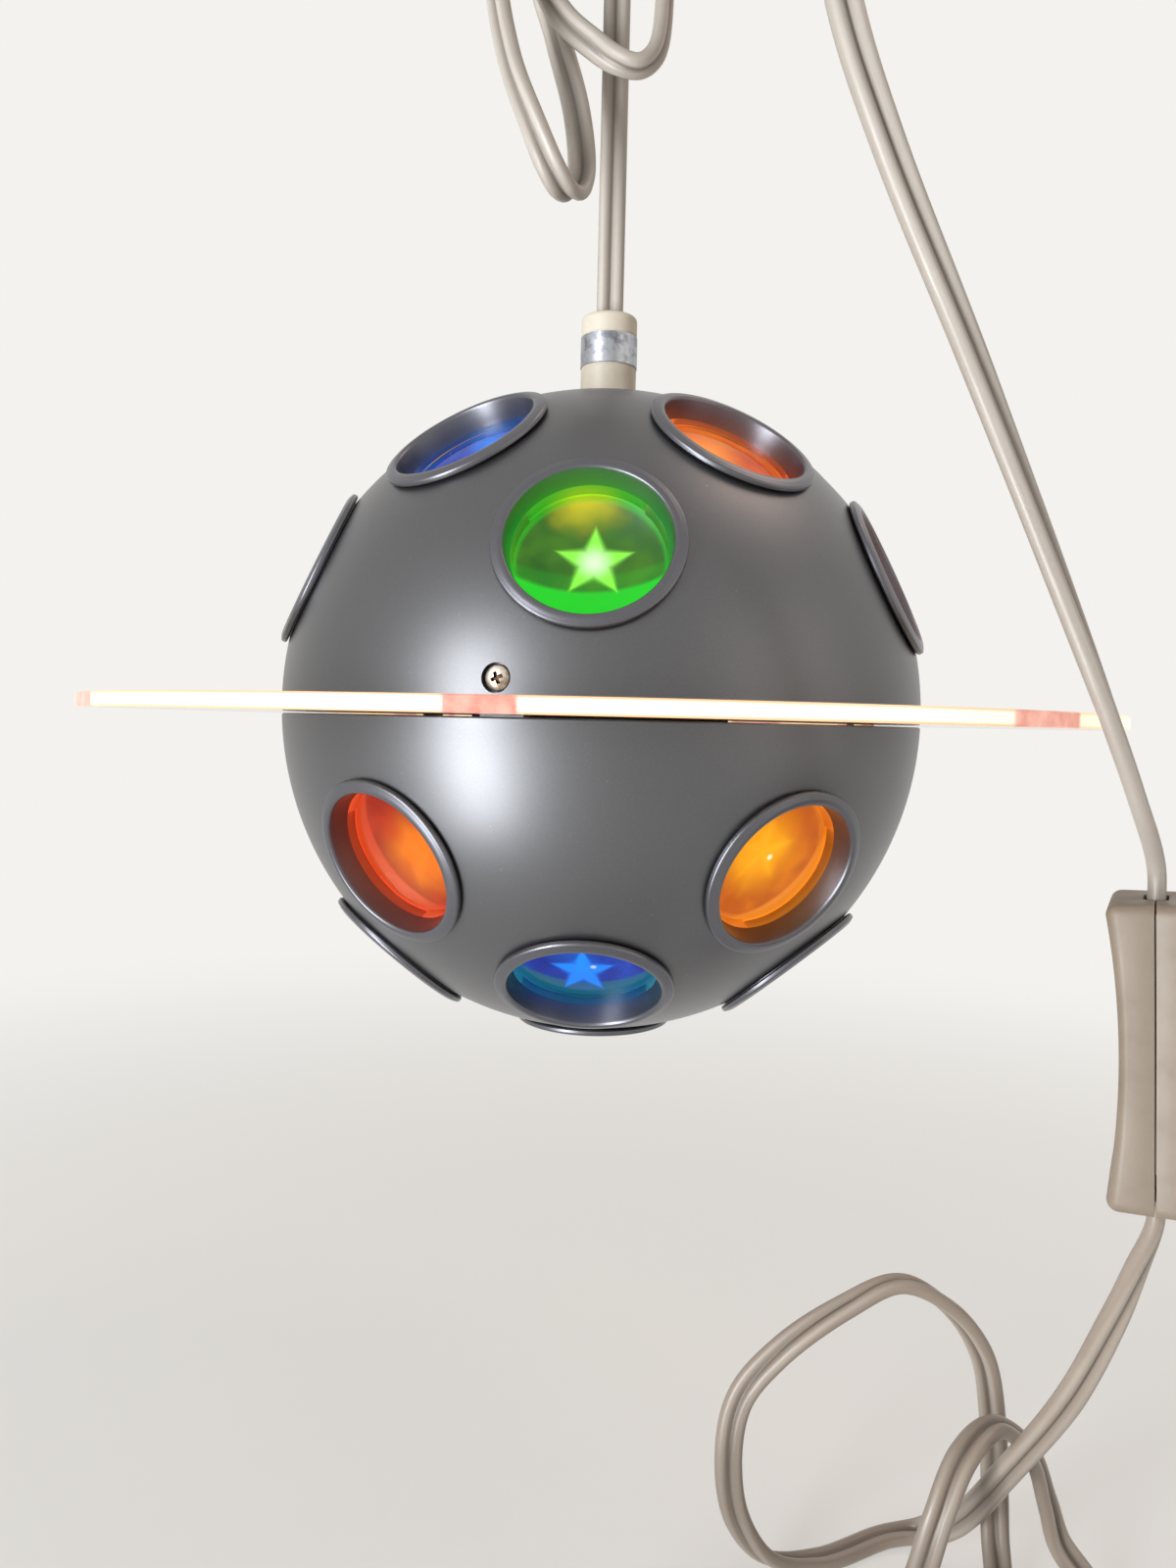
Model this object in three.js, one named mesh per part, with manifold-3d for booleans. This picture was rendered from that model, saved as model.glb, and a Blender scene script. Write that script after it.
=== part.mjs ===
// Star projector lamp: a painted ball that hangs on its flat twin cord, with a lens in every star window, a clear
// ring clamped round its middle, an inline rocker switch and a plug. Millimetres, +Z up, -Y is the front. The origin
// is the point where the cord leaves what the lamp hangs from, straight above the middle of the ball.

import * as THREE from 'three';
import { mergeVertices } from 'three/addons/utils/BufferGeometryUtils.js';
import Module from 'manifold-3d';

// Clearances and cuts that several pieces share
const fitGap = 0.3;            // between pieces that seat on or in each other
const lugGap = 0.8;            // between a screw lug and the wall that it is drawn up to
const cordGap = 0.5;           // round the cord, where it enters the grip and the switch
const pivotGap = 0.8;          // in the cord at the hang point, where it bends as the lamp sways
const overrun = 3;             // how far a cutting body runs past what it cuts

// Ball and clear ring
const hangDrop = 186;          // from the hang point to the middle of the ball
const ballRadius = 80;
const shellWall = 2.5;
const ringRadius = 125;
const ringSeat = 10;           // of the ring's bore inside the ball's surface
const ringBoreRadius = ballRadius - ringSeat;
const ringThickness = 3;
const ledgeThickness = 2;      // inner flange of each half, which clamps the ring
const neckHoleRadius = 5.3;    // hole at the top of the ball
const shellSides = 34;
const shellRows = 7;
const ringSides = 44;

// Screw lugs of the lower half, and their screws
const screwCount = 3;
const screwTurn = -12.4;       // degrees from the front to the first screw
const screwHeight = 5.8;       // above the middle of the ring
const lugWidth = 9;
const lugDepth = 3.6;
const lugTop = 10.5;           // above the middle of the ring
const screwHeadRadius = 2.7;
const screwHeadThickness = 1.2;
const screwHeadSink = 0.4;     // head's face below the ball's surface
const screwShankRadius = 1.5;
const screwTipPast = 1;        // how far the tip stands out of the lug
const screwSlotWidth = 0.7;
const screwSlotLength = 3.6;
const screwSlotDepth = 0.6;
const screwSides = 10;

// Star windows: bezel, lens and the hole that they sit in
const windowHoleShare = 0.22375;   // of the ball's radius
const windowHoleRadius = windowHoleShare * ballRadius;
const bezelOverlap = 1.85;     // flange past the edge of its hole
const bezelRadius = windowHoleRadius + bezelOverlap;
const bezelHeight = 1.9;       // flange above the edge of its hole
const bezelEdge = 1.2;         // flange's outer wall, below its rounded top
const bezelLipWidth = 2.75;
const bezelBoreInset = 2.2;    // bore inside the edge of the hole, at the lens
const bezelBoreRadius = windowHoleRadius - bezelBoreInset;
const bezelDepth = 6.6;        // barrel below the flange
const lensDome = 2.6;          // middle of the lens over its rim
const lensEdge = 1.8;
const windowSides = 16;
const windowRows = [
  { name: 'upper', latitude: 25, firstLongitude: 0, count: 5 },
  { name: 'top', latitude: 50, firstLongitude: 36, count: 5 },
  { name: 'lower', latitude: -25, firstLongitude: 36, count: 5 },
  { name: 'bottom', latitude: -50, firstLongitude: 0, count: 5 },
  { name: 'pole', latitude: -90, firstLongitude: 0, count: 1 },
];

// Star mask: the perforated inner ball round the bulb
const maskRadius = 34;
const maskWall = 1.5;
const maskCollarHeight = 9;
const starRadius = 6.2;
const starInnerShare = 0.42;
const starPoints = 5;
const maskSides = 18;
const maskRows = 6;

// Lamp socket, bulb and cord grip
const socketRadius = 13;
const socketInCollar = 10;     // how far the mask's collar goes over it
const socketFloor = 10.7;      // between the bulb's base and the grip's spigot
const bulbRadius = 15;
const bulbRows = 4;
const bulbBaseRadius = 8.7;
const socketSeat = 0.8;        // under the top of the ball, where its halves are faceted
const spigotRadius = 5;        // of the grip, through the top of the ball into the socket
const spigotLength = 12;
const gripRadius = 7.05;
const gripHeight = 20.3;
const gripRounding = 1.2;
const cordEntry = 6;           // cord inside the grip
const turnedSides = 16;

// Flat twin cord
const cordWidth = 6.8;
const cordThickness = 3.4;
const cordFlatShares = [[1, 0.42], [0.74, 1]];   // section's corner points, of its half width and half thickness
const coilFlatShares = [[1, 0], [0.56, 1]];
const cordMeasureSteps = 2400;

// Inline switch
const switchPlace = [111.9, -76.3, -248.4];
const switchTurn = -23.3;      // degrees about Z
const switchTilt = -2.5;       // degrees about the case's own width
const caseLength = 58;
const caseWidth = 26;
const caseHalfDepth = 8.4;
const caseWaist = 2.2;         // how far the back is dished
const caseWall = 1.6;
const caseEdge = 1.2;
const caseCorner = 2.4;
const caseSeam = 0.3;
const caseCurveSteps = 5;
const windowLength = 16;
const windowWidth = 9;
const rockerLength = 13.2;
const rockerPivotDepth = 5.4;  // of the pivot below the case's face
const rockerProud = 0.8;       // tips of the rocker over the case's face when it is level
const rockerDish = 1.2;
const rockerSkirt = 3.7;       // rocker's ends below their tips
const rockerPinRadius = 1.2;
const rockerTilt = -8;         // degrees, pressed in at its lower end
const cheekThickness = 1.6;
const cheekHeight = 8;

// Surface under the lamp, and what lies on it
const tableLevel = -396;
const coilPlace = [20, -98];
const coilRadius = 42.4;       // of the outermost turn's centre line
const coilPitch = 4.5;
const coilLayerRise = 7.7;
const coilTurnsIn = 2.25;
const coilTurnsOut = 2.25;
const coilClimbTurns = 0.5;
const coilStepsPerLoop = 24;
const leadLength = 34;         // straight cord from the coil to the plug
const leadTurnShares = [0.3, 0.8];   // of the lead, between which it turns flat and comes down to the plug
const plugBodyLength = 24;
const plugBodyWidth = 21;
const plugBodyHeight = 15;
const plugNeckLength = 20;
const plugNeckRadius = 5.6;
const plugNeckTipRadius = 4.2;
const plugEdge = 1.5;
const plugShoulderShare = 0.62;
const bladeLength = 17;
const bladeWidth = 6.3;
const bladeThickness = 1.5;
const bladeSpacing = 12.7;

// Routes of the free cord: place, then the direction of the cord's width
const strandSteps = 3;
const dropRoute = [
  [0, 0, 0.4, 1, 0, 0], [0, 0, 7, 1, 0, 0], [-5, -4.5, 17, 0.7, -0.7, 0], [-13.5, -11, 17, 0.4, -0.85, 0.2],
  [-18.8, -13.8, 7, 0.4, -0.9, 0], [-18.6, -13.2, -7, 0.5, -0.8, 0.2],
  [-12.7, -14.8, -19, 0.65, -0.6, 0.45], [-4.8, -17.3, -27.2, 0.55, -0.6, 0.55],
  [1.2, -18.8, -31.9, 0.2, -0.85, 0.45], [6.3, -18.5, -33, -0.1, -0.95, 0.2],
  [10.2, -16.3, -28.8, -0.3, -0.95, 0], [11.9, -13.7, -17, -0.3, -0.95, 0],
  [10.8, -13.8, 0, -0.3, -0.95, 0], [3, -17, 17, -0.3, -0.95, 0], [-9, -20.5, 23, 0.25, -0.95, 0],
  [-20.5, -23.8, 18, 0.35, -0.93, 0], [-27.6, -25.7, 3, 0.55, -0.83, 0], [-27, -26.8, -18, 0.62, -0.78, 0],
  [-22.8, -29.5, -38, 0.65, -0.75, 0], [-17.2, -31, -52.5, 0.8, -0.6, 0.1],
  [-13.2, -30.6, -61.4, 0.95, -0.3, 0.2], [-10.3, -26.8, -65, 1, -0.1, 0.1],
  [-8.1, -21.6, -63.6, 1, 0, 0.1], [-6.8, -18, -57, 1, 0.1, 0], [-8.3, -16, -43, 0.95, -0.3, 0],
  [-14.4, -7.8, -19.6, 0.8, -0.6, 0], [-19.6, -1, 1, 0.75, -0.65, 0], [-15.5, 6, 19, 0.75, -0.65, 0],
  [-3, 8.5, 30, 0.5, -0.85, 0], [14, -1, 34, 0.6, -0.8, 0], [28.5, -25, 28, 0.85, -0.5, 0],
  [36.5, -53, 10, 0.97, -0.2, 0], [40.5, -77, -22, 1, 0, 0], [43.8, -90.5, -61.5, 1, 0.1, 0],
  [52.1, -92.5, -86.9, 0.95, 0.3, 0.1], [69.9, -89, -124.6, 0.8, 0.55, 0.1],
  [95.6, -86.3, -183.4, 0.4, 0.9, 0], [103.5, -82.5, -200, 0.37, 0.93, 0],
  [110.5, -75.8, -213.6, 0.395, 0.919, 0], [110.86, -75.85, -222.4, 0.395, 0.919, 0],
];
const dropSteps = 64;
const tailRoute = [
  [112.94, -76.75, -274.4, 0.395, 0.919, 0], [113.25, -76.6, -282, 0.45, 0.9, 0],
  [112, -72.5, -293, 0.7, 0.7, -0.1], [110.5, -64.5, -309.6, 0.92, 0.35, -0.2],
  [106.8, -52.8, -333, 0.97, 0, -0.25], [98.7, -37, -360.7, 0.93, 0, -0.35],
  [95.1, -24, -378.5, 0.92, -0.2, -0.35], [92.3, -15.5, -388, 0.75, -0.6, -0.25],
  [86.5, -10.6, -393, 0.4, -0.9, -0.1], [78, -11.6, -394.2, 0.35, -0.93, 0],
  [60, -21.6, -394.2, 0.42, -0.9, 0], [47, -25.6, -391.4, 0.6, -0.75, 0.3],
  [39.4, -26.4, -382, 0.9, -0.3, 0.25], [36.6, -26.5, -367, 1, 0, 0],
  [39, -25.8, -351.8, 0.95, -0.15, -0.25], [48.5, -24.8, -340, 0.6, -0.6, -0.5],
  [63.7, -23, -329.2, 0.3, -0.9, -0.25], [77.5, -21.5, -323.2, 0, -1, 0],
  [89.5, -20.6, -329, 0.35, -0.9, 0.15], [98, -19.8, -340.5, 0.6, -0.75, 0.25],
  [101.9, -18.2, -358, 0.75, -0.65, 0], [103.2, -17.6, -375, 0.85, -0.5, 0],
  [102.8, -22, -388, 0.97, -0.2, 0], [102.4, -31.5, -394, 0.99, 0.1, 0], [106, -41, -394.2, 0.75, 0.6, 0],
  [114.5, -45.8, -394.2, 0, 1, 0], [123, -42.3, -394.2, -0.75, 0.65, 0],
  [125.4, -33.8, -393.6, -0.98, 0, 0], [121.8, -27.8, -390, -0.9, -0.35, -0.1],
  [116.7, -26, -383.5, -0.8, -0.6, -0.2], [113.1, -26.5, -373, -0.6, -0.8, -0.2],
  [108, -29, -359.7, -0.3, -0.9, -0.2], [97.3, -35.5, -349.5, 0.4, -0.9, 0],
  [88, -43.5, -352, 0.8, -0.5, -0.3], [81.5, -49.2, -362.5, 0.93, -0.1, -0.35],
  [77.8, -50.2, -375, 0.95, -0.2, -0.2], [73.4, -51.5, -387, 0.7, -0.6, -0.4],
  [62, -53.8, -393.8, 0.1, -1, 0], [44.5, -55.5, -393.6, 0, -0.9, 0.4], [27.1, -55.6, -392.6, 0, 0, 1],
];
const tailSteps = 56;

const wasm = await Module();
wasm.setup();
const group = new THREE.Group();
const lamp = new THREE.Group();
lamp.position.z = -hangDrop;
group.add(lamp);

// Finishes
const finish = (color, roughness, metalness = 0) =>
  new THREE.MeshStandardMaterial({ color, roughness, metalness, flatShading: true });
const paintedShell = finish(0x77777b, 0.38, 0.75);
const paintedBezel = finish(0x6b6c74, 0.35, 0.75);
const clearRing = finish(0xffdcb8, 0.12);
const maskPlastic = finish(0x2b2a2a, 0.7);
const socketPlastic = finish(0xe6dfcf, 0.55);
const bulbGlass = finish(0xfff1cc, 0.15);
const gripPlastic = finish(0xd8cdb8, 0.5);
const screwSteel = finish(0x8c8780, 0.35, 1);
const cordPlastic = finish(0xcfc3b4, 0.45);
const casePlastic = finish(0xc2b4a4, 0.5);
const rockerPlastic = finish(0xb5a796, 0.45);
const plugPlastic = finish(0xcbbfae, 0.5);
const lensColours = {
  upper: [0x22c23a, 0xe8452a, 0xf2b21c, 0x1f6fe0, 0xf07a1e],
  top: [0xf07a1e, 0x22c23a, 0xe8452a, 0xf2b21c, 0x1f6fe0],
  lower: [0xf2a01c, 0x1f6fe0, 0x22c23a, 0xf07a1e, 0xe8502a],
  bottom: [0x1f6fe0, 0xf2b21c, 0xe8452a, 0x22c23a, 0xf07a1e],
  pole: [0xf2b21c],
};

function add(parent, name, geometry, material) {
  const mesh = new THREE.Mesh(geometry, material);
  mesh.name = name;
  parent.add(mesh);
  return mesh;
}

// A geometry whose faces share their corners
function sharingCorners(geometry) {
  const bare = geometry.clone();
  bare.deleteAttribute('normal');
  bare.deleteAttribute('uv');
  return mergeVertices(bare);
}

// A closed geometry as a solid that can be cut and joined, and back
function solidOf(geometry) {
  const merged = sharingCorners(geometry);
  const corners = [];
  for (let i = 0; i < merged.index.count; i += 3) {
    const [a, b, c] = [0, 1, 2].map((k) => merged.index.getX(i + k));
    if (a !== b && b !== c && c !== a) corners.push(a, b, c);
  }
  const vertProperties = new Float32Array(merged.attributes.position.array);
  return new wasm.Manifold(new wasm.Mesh({ numProp: 3, vertProperties, triVerts: new Uint32Array(corners) }));
}

function geometryOf(solid) {
  const mesh = solid.getMesh();
  const geometry = new THREE.BufferGeometry();
  geometry.setAttribute('position', new THREE.BufferAttribute(mesh.vertProperties, mesh.numProp));
  geometry.setIndex(new THREE.BufferAttribute(mesh.triVerts, 1));
  return geometry;
}

const joined = (first, ...others) =>
  others.reduce((whole, other) => whole.add(solidOf(other)), solidOf(first));
const cut = (solid, ...cutters) => cutters.reduce((left, cutter) => left.subtract(solidOf(cutter)), solid);

// A profile of [radius, height] points turned about Z
function turned(profile, sides) {
  const area = profile.reduce((sum, [r, h], i) => {
    const [nextR, nextH] = profile[(i + 1) % profile.length];
    return sum + r * nextH - nextR * h;
  }, 0);
  const outward = area > 0 ? profile : [...profile].reverse();
  const onAxis = outward.filter(([r]) => r === 0).length;
  let points = outward;
  if (onAxis === 0) {
    points = [...outward, outward[0]];
  } else {
    const start = outward.findIndex(([r], i) => r === 0 && outward.at(i - 1)[0] === 0);
    points = [...outward.slice(start), ...outward.slice(0, start)];
  }
  const whole = new THREE.LatheGeometry(points.map(([r, h]) => new THREE.Vector2(r, h)), sides);
  return sharingCorners(whole).rotateX(Math.PI / 2);
}

const box = (x, y, z) => new THREE.BoxGeometry(x, y, z);
const rod = (radius, length, sides) => new THREE.CylinderGeometry(radius, radius, length, sides).rotateX(Math.PI / 2);
const degrees = THREE.MathUtils.degToRad;

// The turned frame of a window or a screw: X to the east, Y to the north, Z straight out of the ball
function outwardFrame(latitude, longitude, distance) {
  const [lat, lon] = [degrees(latitude), degrees(longitude)];
  const east = new THREE.Vector3(Math.cos(lon), Math.sin(lon), 0);
  const out = new THREE.Vector3(Math.cos(lat) * Math.sin(lon), -Math.cos(lat) * Math.cos(lon), Math.sin(lat));
  const north = new THREE.Vector3().crossVectors(out, east);
  return new THREE.Matrix4().makeBasis(east, north, out).setPosition(out.clone().multiplyScalar(distance));
}

const windows = windowRows.flatMap(({ name, latitude, firstLongitude, count }) =>
  Array.from({ length: count }, (_, i) => ({
    name: count > 1 ? `${name}_${i + 1}` : name,
    latitude,
    longitude: firstLongitude + (i * 360) / count,
    colour: lensColours[name][i],
  })));
const halfSide = Math.PI / windowSides;

// Shell halves, which part at the clear ring
const seamHeight = ringThickness / 2 + fitGap;
const innerRadius = ballRadius - shellWall;
const across = (radius, height) => Math.sqrt(radius * radius - height * height);

function shellProfile(poleRadius) {
  const arc = (radius, startHeight, endRadius) => {
    const start = Math.asin(startHeight / radius);
    const end = Math.acos(endRadius / radius);
    return Array.from({ length: shellRows + 1 }, (_, i) => start + ((end - start) * i) / shellRows)
      .map((angle) => [radius * Math.cos(angle), radius * Math.sin(angle)]);
  };
  const ledgeHeight = seamHeight + ledgeThickness;
  return [
    ...arc(ballRadius, seamHeight, poleRadius),
    ...arc(innerRadius, ledgeHeight, poleRadius).reverse(),
    [ringBoreRadius, ledgeHeight],
    [ringBoreRadius, seamHeight],
  ];
}

const lugOuter = across(innerRadius, lugTop) - lugGap;
const lugLongitudes = Array.from({ length: screwCount }, (_, i) => screwTurn + (i * 360) / screwCount);
const lugBottom = -(seamHeight + ledgeThickness);
const lugCutWidth = lugWidth + 2 * fitGap;

// A block that stands round the ball's axis at a lug: its inner and outer radius, its width and its two heights
function lugBlock(longitude, inner, outer, width, low, high) {
  return box(width, outer - inner, high - low)
    .translate(0, -(inner + outer) / 2, (low + high) / 2)
    .rotateZ(degrees(longitude));
}

// A round hole along a lug's screw
function screwHole(longitude, radius, inner, outer) {
  return new THREE.CylinderGeometry(radius, radius, outer - inner, screwSides)
    .translate(0, -(inner + outer) / 2, screwHeight)
    .rotateZ(degrees(longitude));
}

const windowHole = ({ latitude, longitude }) =>
  rod(windowHoleRadius, 2 * (shellWall + overrun), windowSides)
    .rotateZ(halfSide)
    .applyMatrix4(outwardFrame(latitude, longitude, innerRadius));

const surfaceAtScrew = across(ballRadius, screwHeight);
const headBack = surfaceAtScrew - screwHeadSink - screwHeadThickness;
const upperShell = cut(
  solidOf(turned(shellProfile(neckHoleRadius), shellSides)),
  ...windows.filter(({ latitude }) => latitude > 0).map(windowHole),
  ...lugLongitudes.flatMap((longitude) => [
    lugBlock(longitude, ringBoreRadius - overrun, innerRadius - fitGap, lugCutWidth, 0, lugTop),
    screwHole(longitude, screwShankRadius + fitGap, ringBoreRadius, ballRadius + overrun),
    screwHole(longitude, screwHeadRadius + fitGap, headBack - fitGap, ballRadius + overrun),
  ]),
);
add(lamp, 'upper_shell', geometryOf(upperShell), paintedShell);

const lowerHalf = turned(shellProfile(windowHoleRadius).map(([r, h]) => [r, -h]), shellSides);
const lugInner = lugOuter - lugDepth;
const lugs = lugLongitudes.map((longitude) =>
  lugBlock(longitude, lugInner, lugOuter, lugWidth, lugBottom, lugTop));
const lowerShell = cut(
  joined(lowerHalf, ...lugs),
  ...windows.filter(({ latitude }) => latitude < 0 && latitude > -90).map(windowHole),
  ...lugLongitudes.map((longitude) =>
    screwHole(longitude, screwShankRadius + fitGap, lugInner - overrun, lugOuter + fitGap)),
);
add(lamp, 'lower_shell', geometryOf(lowerShell), paintedShell);

// Clear ring, notched for the lugs
const ringProfile = [
  [ringBoreRadius, -ringThickness / 2], [ringRadius, -ringThickness / 2],
  [ringRadius, ringThickness / 2], [ringBoreRadius, ringThickness / 2],
];
const lightRing = cut(
  solidOf(turned(ringProfile, ringSides)),
  ...lugLongitudes.map((longitude) =>
    lugBlock(longitude, ringBoreRadius - overrun, lugOuter + fitGap, lugCutWidth, -ringThickness, ringThickness)),
);
add(lamp, 'light_ring', geometryOf(lightRing), clearRing);

// Screws, from outside the ball into the lugs
const screwLength = headBack - lugInner + screwTipPast;
const screwProfile = [
  [0, -screwLength], [screwShankRadius, -screwLength], [screwShankRadius, 0], [screwHeadRadius, 0],
  [screwHeadRadius, screwHeadThickness / 2], [screwHeadRadius - screwHeadThickness / 2, screwHeadThickness],
  [0, screwHeadThickness],
];
const screwSlot = (x, y) =>
  box(x, y, 2 * screwSlotDepth).translate(0, 0, screwHeadThickness);
const screw = geometryOf(cut(
  solidOf(turned(screwProfile, screwSides)),
  screwSlot(screwSlotLength, screwSlotWidth),
  screwSlot(screwSlotWidth, screwSlotLength),
));
lugLongitudes.forEach((longitude, i) => {
  const placed = add(lamp, `shell_screw_${i + 1}`, screw, screwSteel);
  placed.applyMatrix4(outwardFrame(0, longitude, headBack));
  placed.position.z = screwHeight;
});

// Bezels and lenses
const seatPlane = across(ballRadius, windowHoleRadius);
const barrelRadius = windowHoleRadius - fitGap;
const bezelProfile = [
  [barrelRadius, -bezelDepth], [barrelRadius, 0], [bezelRadius, 0], [bezelRadius, bezelEdge],
  [bezelRadius - bezelLipWidth, bezelHeight], [bezelBoreRadius, -bezelDepth],
];
const lensFront = -(bezelDepth + fitGap);
const lensProfile = [
  [0, lensFront - lensEdge], [barrelRadius, lensFront - lensEdge], [barrelRadius, lensFront],
  [0, lensFront + lensDome],
];
const bezel = turned(bezelProfile, windowSides).rotateZ(halfSide);
const lens = turned(lensProfile, windowSides).rotateZ(halfSide);
for (const { name, latitude, longitude, colour } of windows) {
  const frame = outwardFrame(latitude, longitude, seatPlane + fitGap / 2);
  add(lamp, `bezel_${name}`, bezel, paintedBezel).applyMatrix4(frame);
  add(lamp, `lens_${name}`, lens, finish(colour, 0.15)).applyMatrix4(frame);
}

// Star mask, with a star cut for each window and a collar that pushes onto the socket
const collarInner = socketRadius + fitGap;
const collarOuter = collarInner + maskWall;
const collarTop = across(maskRadius, collarOuter) + maskCollarHeight;
function maskArc(radius, endRadius) {
  const end = Math.acos(endRadius / radius);
  return Array.from({ length: maskRows + 1 }, (_, i) => -Math.PI / 2 + ((end + Math.PI / 2) * i) / maskRows)
    .map((angle, i) => [i === 0 ? 0 : radius * Math.cos(angle), radius * Math.sin(angle)]);
}
const maskProfile = [
  ...maskArc(maskRadius, collarOuter),
  [collarOuter, collarTop],
  [collarInner, collarTop],
  ...maskArc(maskRadius - maskWall, collarInner).reverse(),
];
const star = new THREE.Shape(Array.from({ length: 2 * starPoints }, (_, i) => {
  const radius = i % 2 ? starRadius * starInnerShare : starRadius;
  const angle = Math.PI / 2 + (i * Math.PI) / starPoints;
  return new THREE.Vector2(radius * Math.cos(angle), radius * Math.sin(angle));
}));
const starCutter = ({ latitude, longitude }) =>
  new THREE.ExtrudeGeometry(star, { depth: 2 * overrun + 2 * maskWall, bevelEnabled: false })
    .translate(0, 0, -overrun - maskWall)
    .applyMatrix4(outwardFrame(latitude, longitude, maskRadius - maskWall));
const mask = cut(solidOf(turned(maskProfile, maskSides)), ...windows.map(starCutter));
add(lamp, 'star_mask', geometryOf(mask), maskPlastic);

// Lamp socket under the top of the ball, with the bulb in it
const socketTop = across(innerRadius, socketRadius) - socketSeat;
const socketBottom = collarTop - socketInCollar;
const spigotBottom = ballRadius + fitGap - spigotLength;
const bulbTop = spigotBottom - 2 * fitGap - socketFloor;
const socketProfile = [
  [bulbBaseRadius + fitGap, socketBottom], [socketRadius, socketBottom], [socketRadius, socketTop],
  [spigotRadius + fitGap, socketTop], [spigotRadius + fitGap, spigotBottom - fitGap],
  [0, spigotBottom - fitGap], [0, bulbTop + fitGap], [bulbBaseRadius + fitGap, bulbTop + fitGap],
];
add(lamp, 'lamp_socket', turned(socketProfile, turnedSides), socketPlastic);

const bulbNeck = Math.acos(bulbBaseRadius / bulbRadius);
const bulbProfile = [
  ...Array.from({ length: bulbRows + 1 }, (_, i) => -Math.PI / 2 + ((bulbNeck + Math.PI / 2) * i) / bulbRows)
    .map((angle, i) => [i === 0 ? 0 : bulbRadius * Math.cos(angle), bulbRadius * Math.sin(angle)]),
  [bulbBaseRadius, bulbTop],
  [0, bulbTop],
];
add(lamp, 'bulb', turned(bulbProfile, turnedSides), bulbGlass);

// Cord grip on top of the ball: its spigot goes through the shell into the socket, and the cord through its bore
const gripBase = ballRadius + fitGap;
const gripTop = gripBase + gripHeight;
const gripBore = cordWidth / 2 + cordGap;
const gripProfile = [
  [gripBore, spigotBottom], [spigotRadius, spigotBottom], [spigotRadius, gripBase], [gripRadius, gripBase],
  [gripRadius, gripTop - gripRounding], [gripRadius - gripRounding, gripTop], [gripBore, gripTop],
];
add(lamp, 'cord_grip', turned(gripProfile, turnedSides), gripPlastic);

// Flat cord: a curve that also says which way the cord's width points
class FlatCordCurve extends THREE.Curve {
  constructor(place, width) {
    super();
    this.place = place;
    this.width = width;
    this.arcLengthDivisions = cordMeasureSteps;
  }

  getPoint(t, target = new THREE.Vector3()) {
    return target.copy(this.place(t));
  }

  computeFrenetFrames(segments) {
    const frames = { tangents: [], normals: [], binormals: [] };
    for (let i = 0; i <= segments; i += 1) {
      const tangent = this.getTangentAt(i / segments);
      const width = this.width(this.getUtoTmapping(i / segments));
      const normal = width.addScaledVector(tangent, -width.dot(tangent)).normalize();
      frames.tangents.push(tangent);
      frames.normals.push(normal);
      frames.binormals.push(new THREE.Vector3().crossVectors(tangent, normal));
    }
    return frames;
  }
}

function routeCurve(rows) {
  const points = rows.map(([x, y, z]) => new THREE.Vector3(x, y, z));
  const places = new THREE.CatmullRomCurve3(points, false, 'centripetal');
  const widths = rows.map((row) => new THREE.Vector3(...row.slice(3)).normalize());
  const width = (t) => {
    const at = Math.min(t, 1) * (rows.length - 1);
    const before = Math.min(Math.floor(at), rows.length - 2);
    return widths[before].clone().lerp(widths[before + 1], at - before);
  };
  return new FlatCordCurve((t) => places.getPoint(t), width);
}

// The section's corner points from those in its first quarter
function flatSection(shares) {
  const quarter = shares.map(([w, t]) => [(w * cordWidth) / 2, (t * cordThickness) / 2]);
  const upperHalf = [...quarter, ...quarter.map(([x, y]) => [-x, y]).reverse()];
  const whole = [...upperHalf, ...upperHalf.map(([x, y]) => [x, -y]).reverse()];
  const points = whole.filter(([x, y], i) => !whole.slice(0, i).some(([u, v]) => u === x && v === y));
  return new THREE.Shape(points.map(([x, y]) => new THREE.Vector2(x, y)));
}

const cordTube = (curve, shares, steps) =>
  new THREE.ExtrudeGeometry(flatSection(shares), { steps, extrudePath: curve, bevelEnabled: false });

const strandTop = dropRoute[0][2] - pivotGap;
const strandBottom = gripTop - cordEntry - hangDrop;
const strand = new FlatCordCurve(
  (t) => new THREE.Vector3(0, 0, strandTop + (strandBottom - strandTop) * t),
  () => new THREE.Vector3(1, 0, 0),
);
add(group, 'cord_strand', cordTube(strand, cordFlatShares, strandSteps), cordPlastic);
add(group, 'cord_drop', cordTube(routeCurve(dropRoute), cordFlatShares, dropSteps), cordPlastic);
add(group, 'cord_tail', cordTube(routeCurve(tailRoute), cordFlatShares, tailSteps), cordPlastic);

// Coil of the spare cord, on edge: it winds in on the lower layer, climbs, winds out on the upper one, and leads
// straight to the plug, turning flat on the way
const smooth = THREE.MathUtils.smoothstep;
const coilTurns = coilTurnsIn + coilTurnsOut;
const coilLevel = tableLevel + cordWidth / 2;
const plugLevel = tableLevel + plugBodyHeight / 2;
const upright = new THREE.Vector3(0, 0, 1);
function coilLoops(turn) {
  const angle = Math.PI / 2 + 2 * Math.PI * turn;
  const inward = Math.min(turn, 2 * coilTurnsIn - turn);
  const radius = coilRadius - coilPitch * inward;
  const climb = smooth(turn, coilTurnsIn - coilClimbTurns / 2, coilTurnsIn + coilClimbTurns / 2);
  return new THREE.Vector3(
    coilPlace[0] + radius * Math.cos(angle),
    coilPlace[1] + radius * Math.sin(angle),
    coilLevel + coilLayerRise * climb,
  );
}
const coilStart = coilLoops(0);
const coilEnd = coilLoops(coilTurns);
const coilEndAngle = Math.PI / 2 + 2 * Math.PI * coilTurns;
const leadAway = new THREE.Vector3(-Math.sin(coilEndAngle), Math.cos(coilEndAngle), 0);
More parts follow.
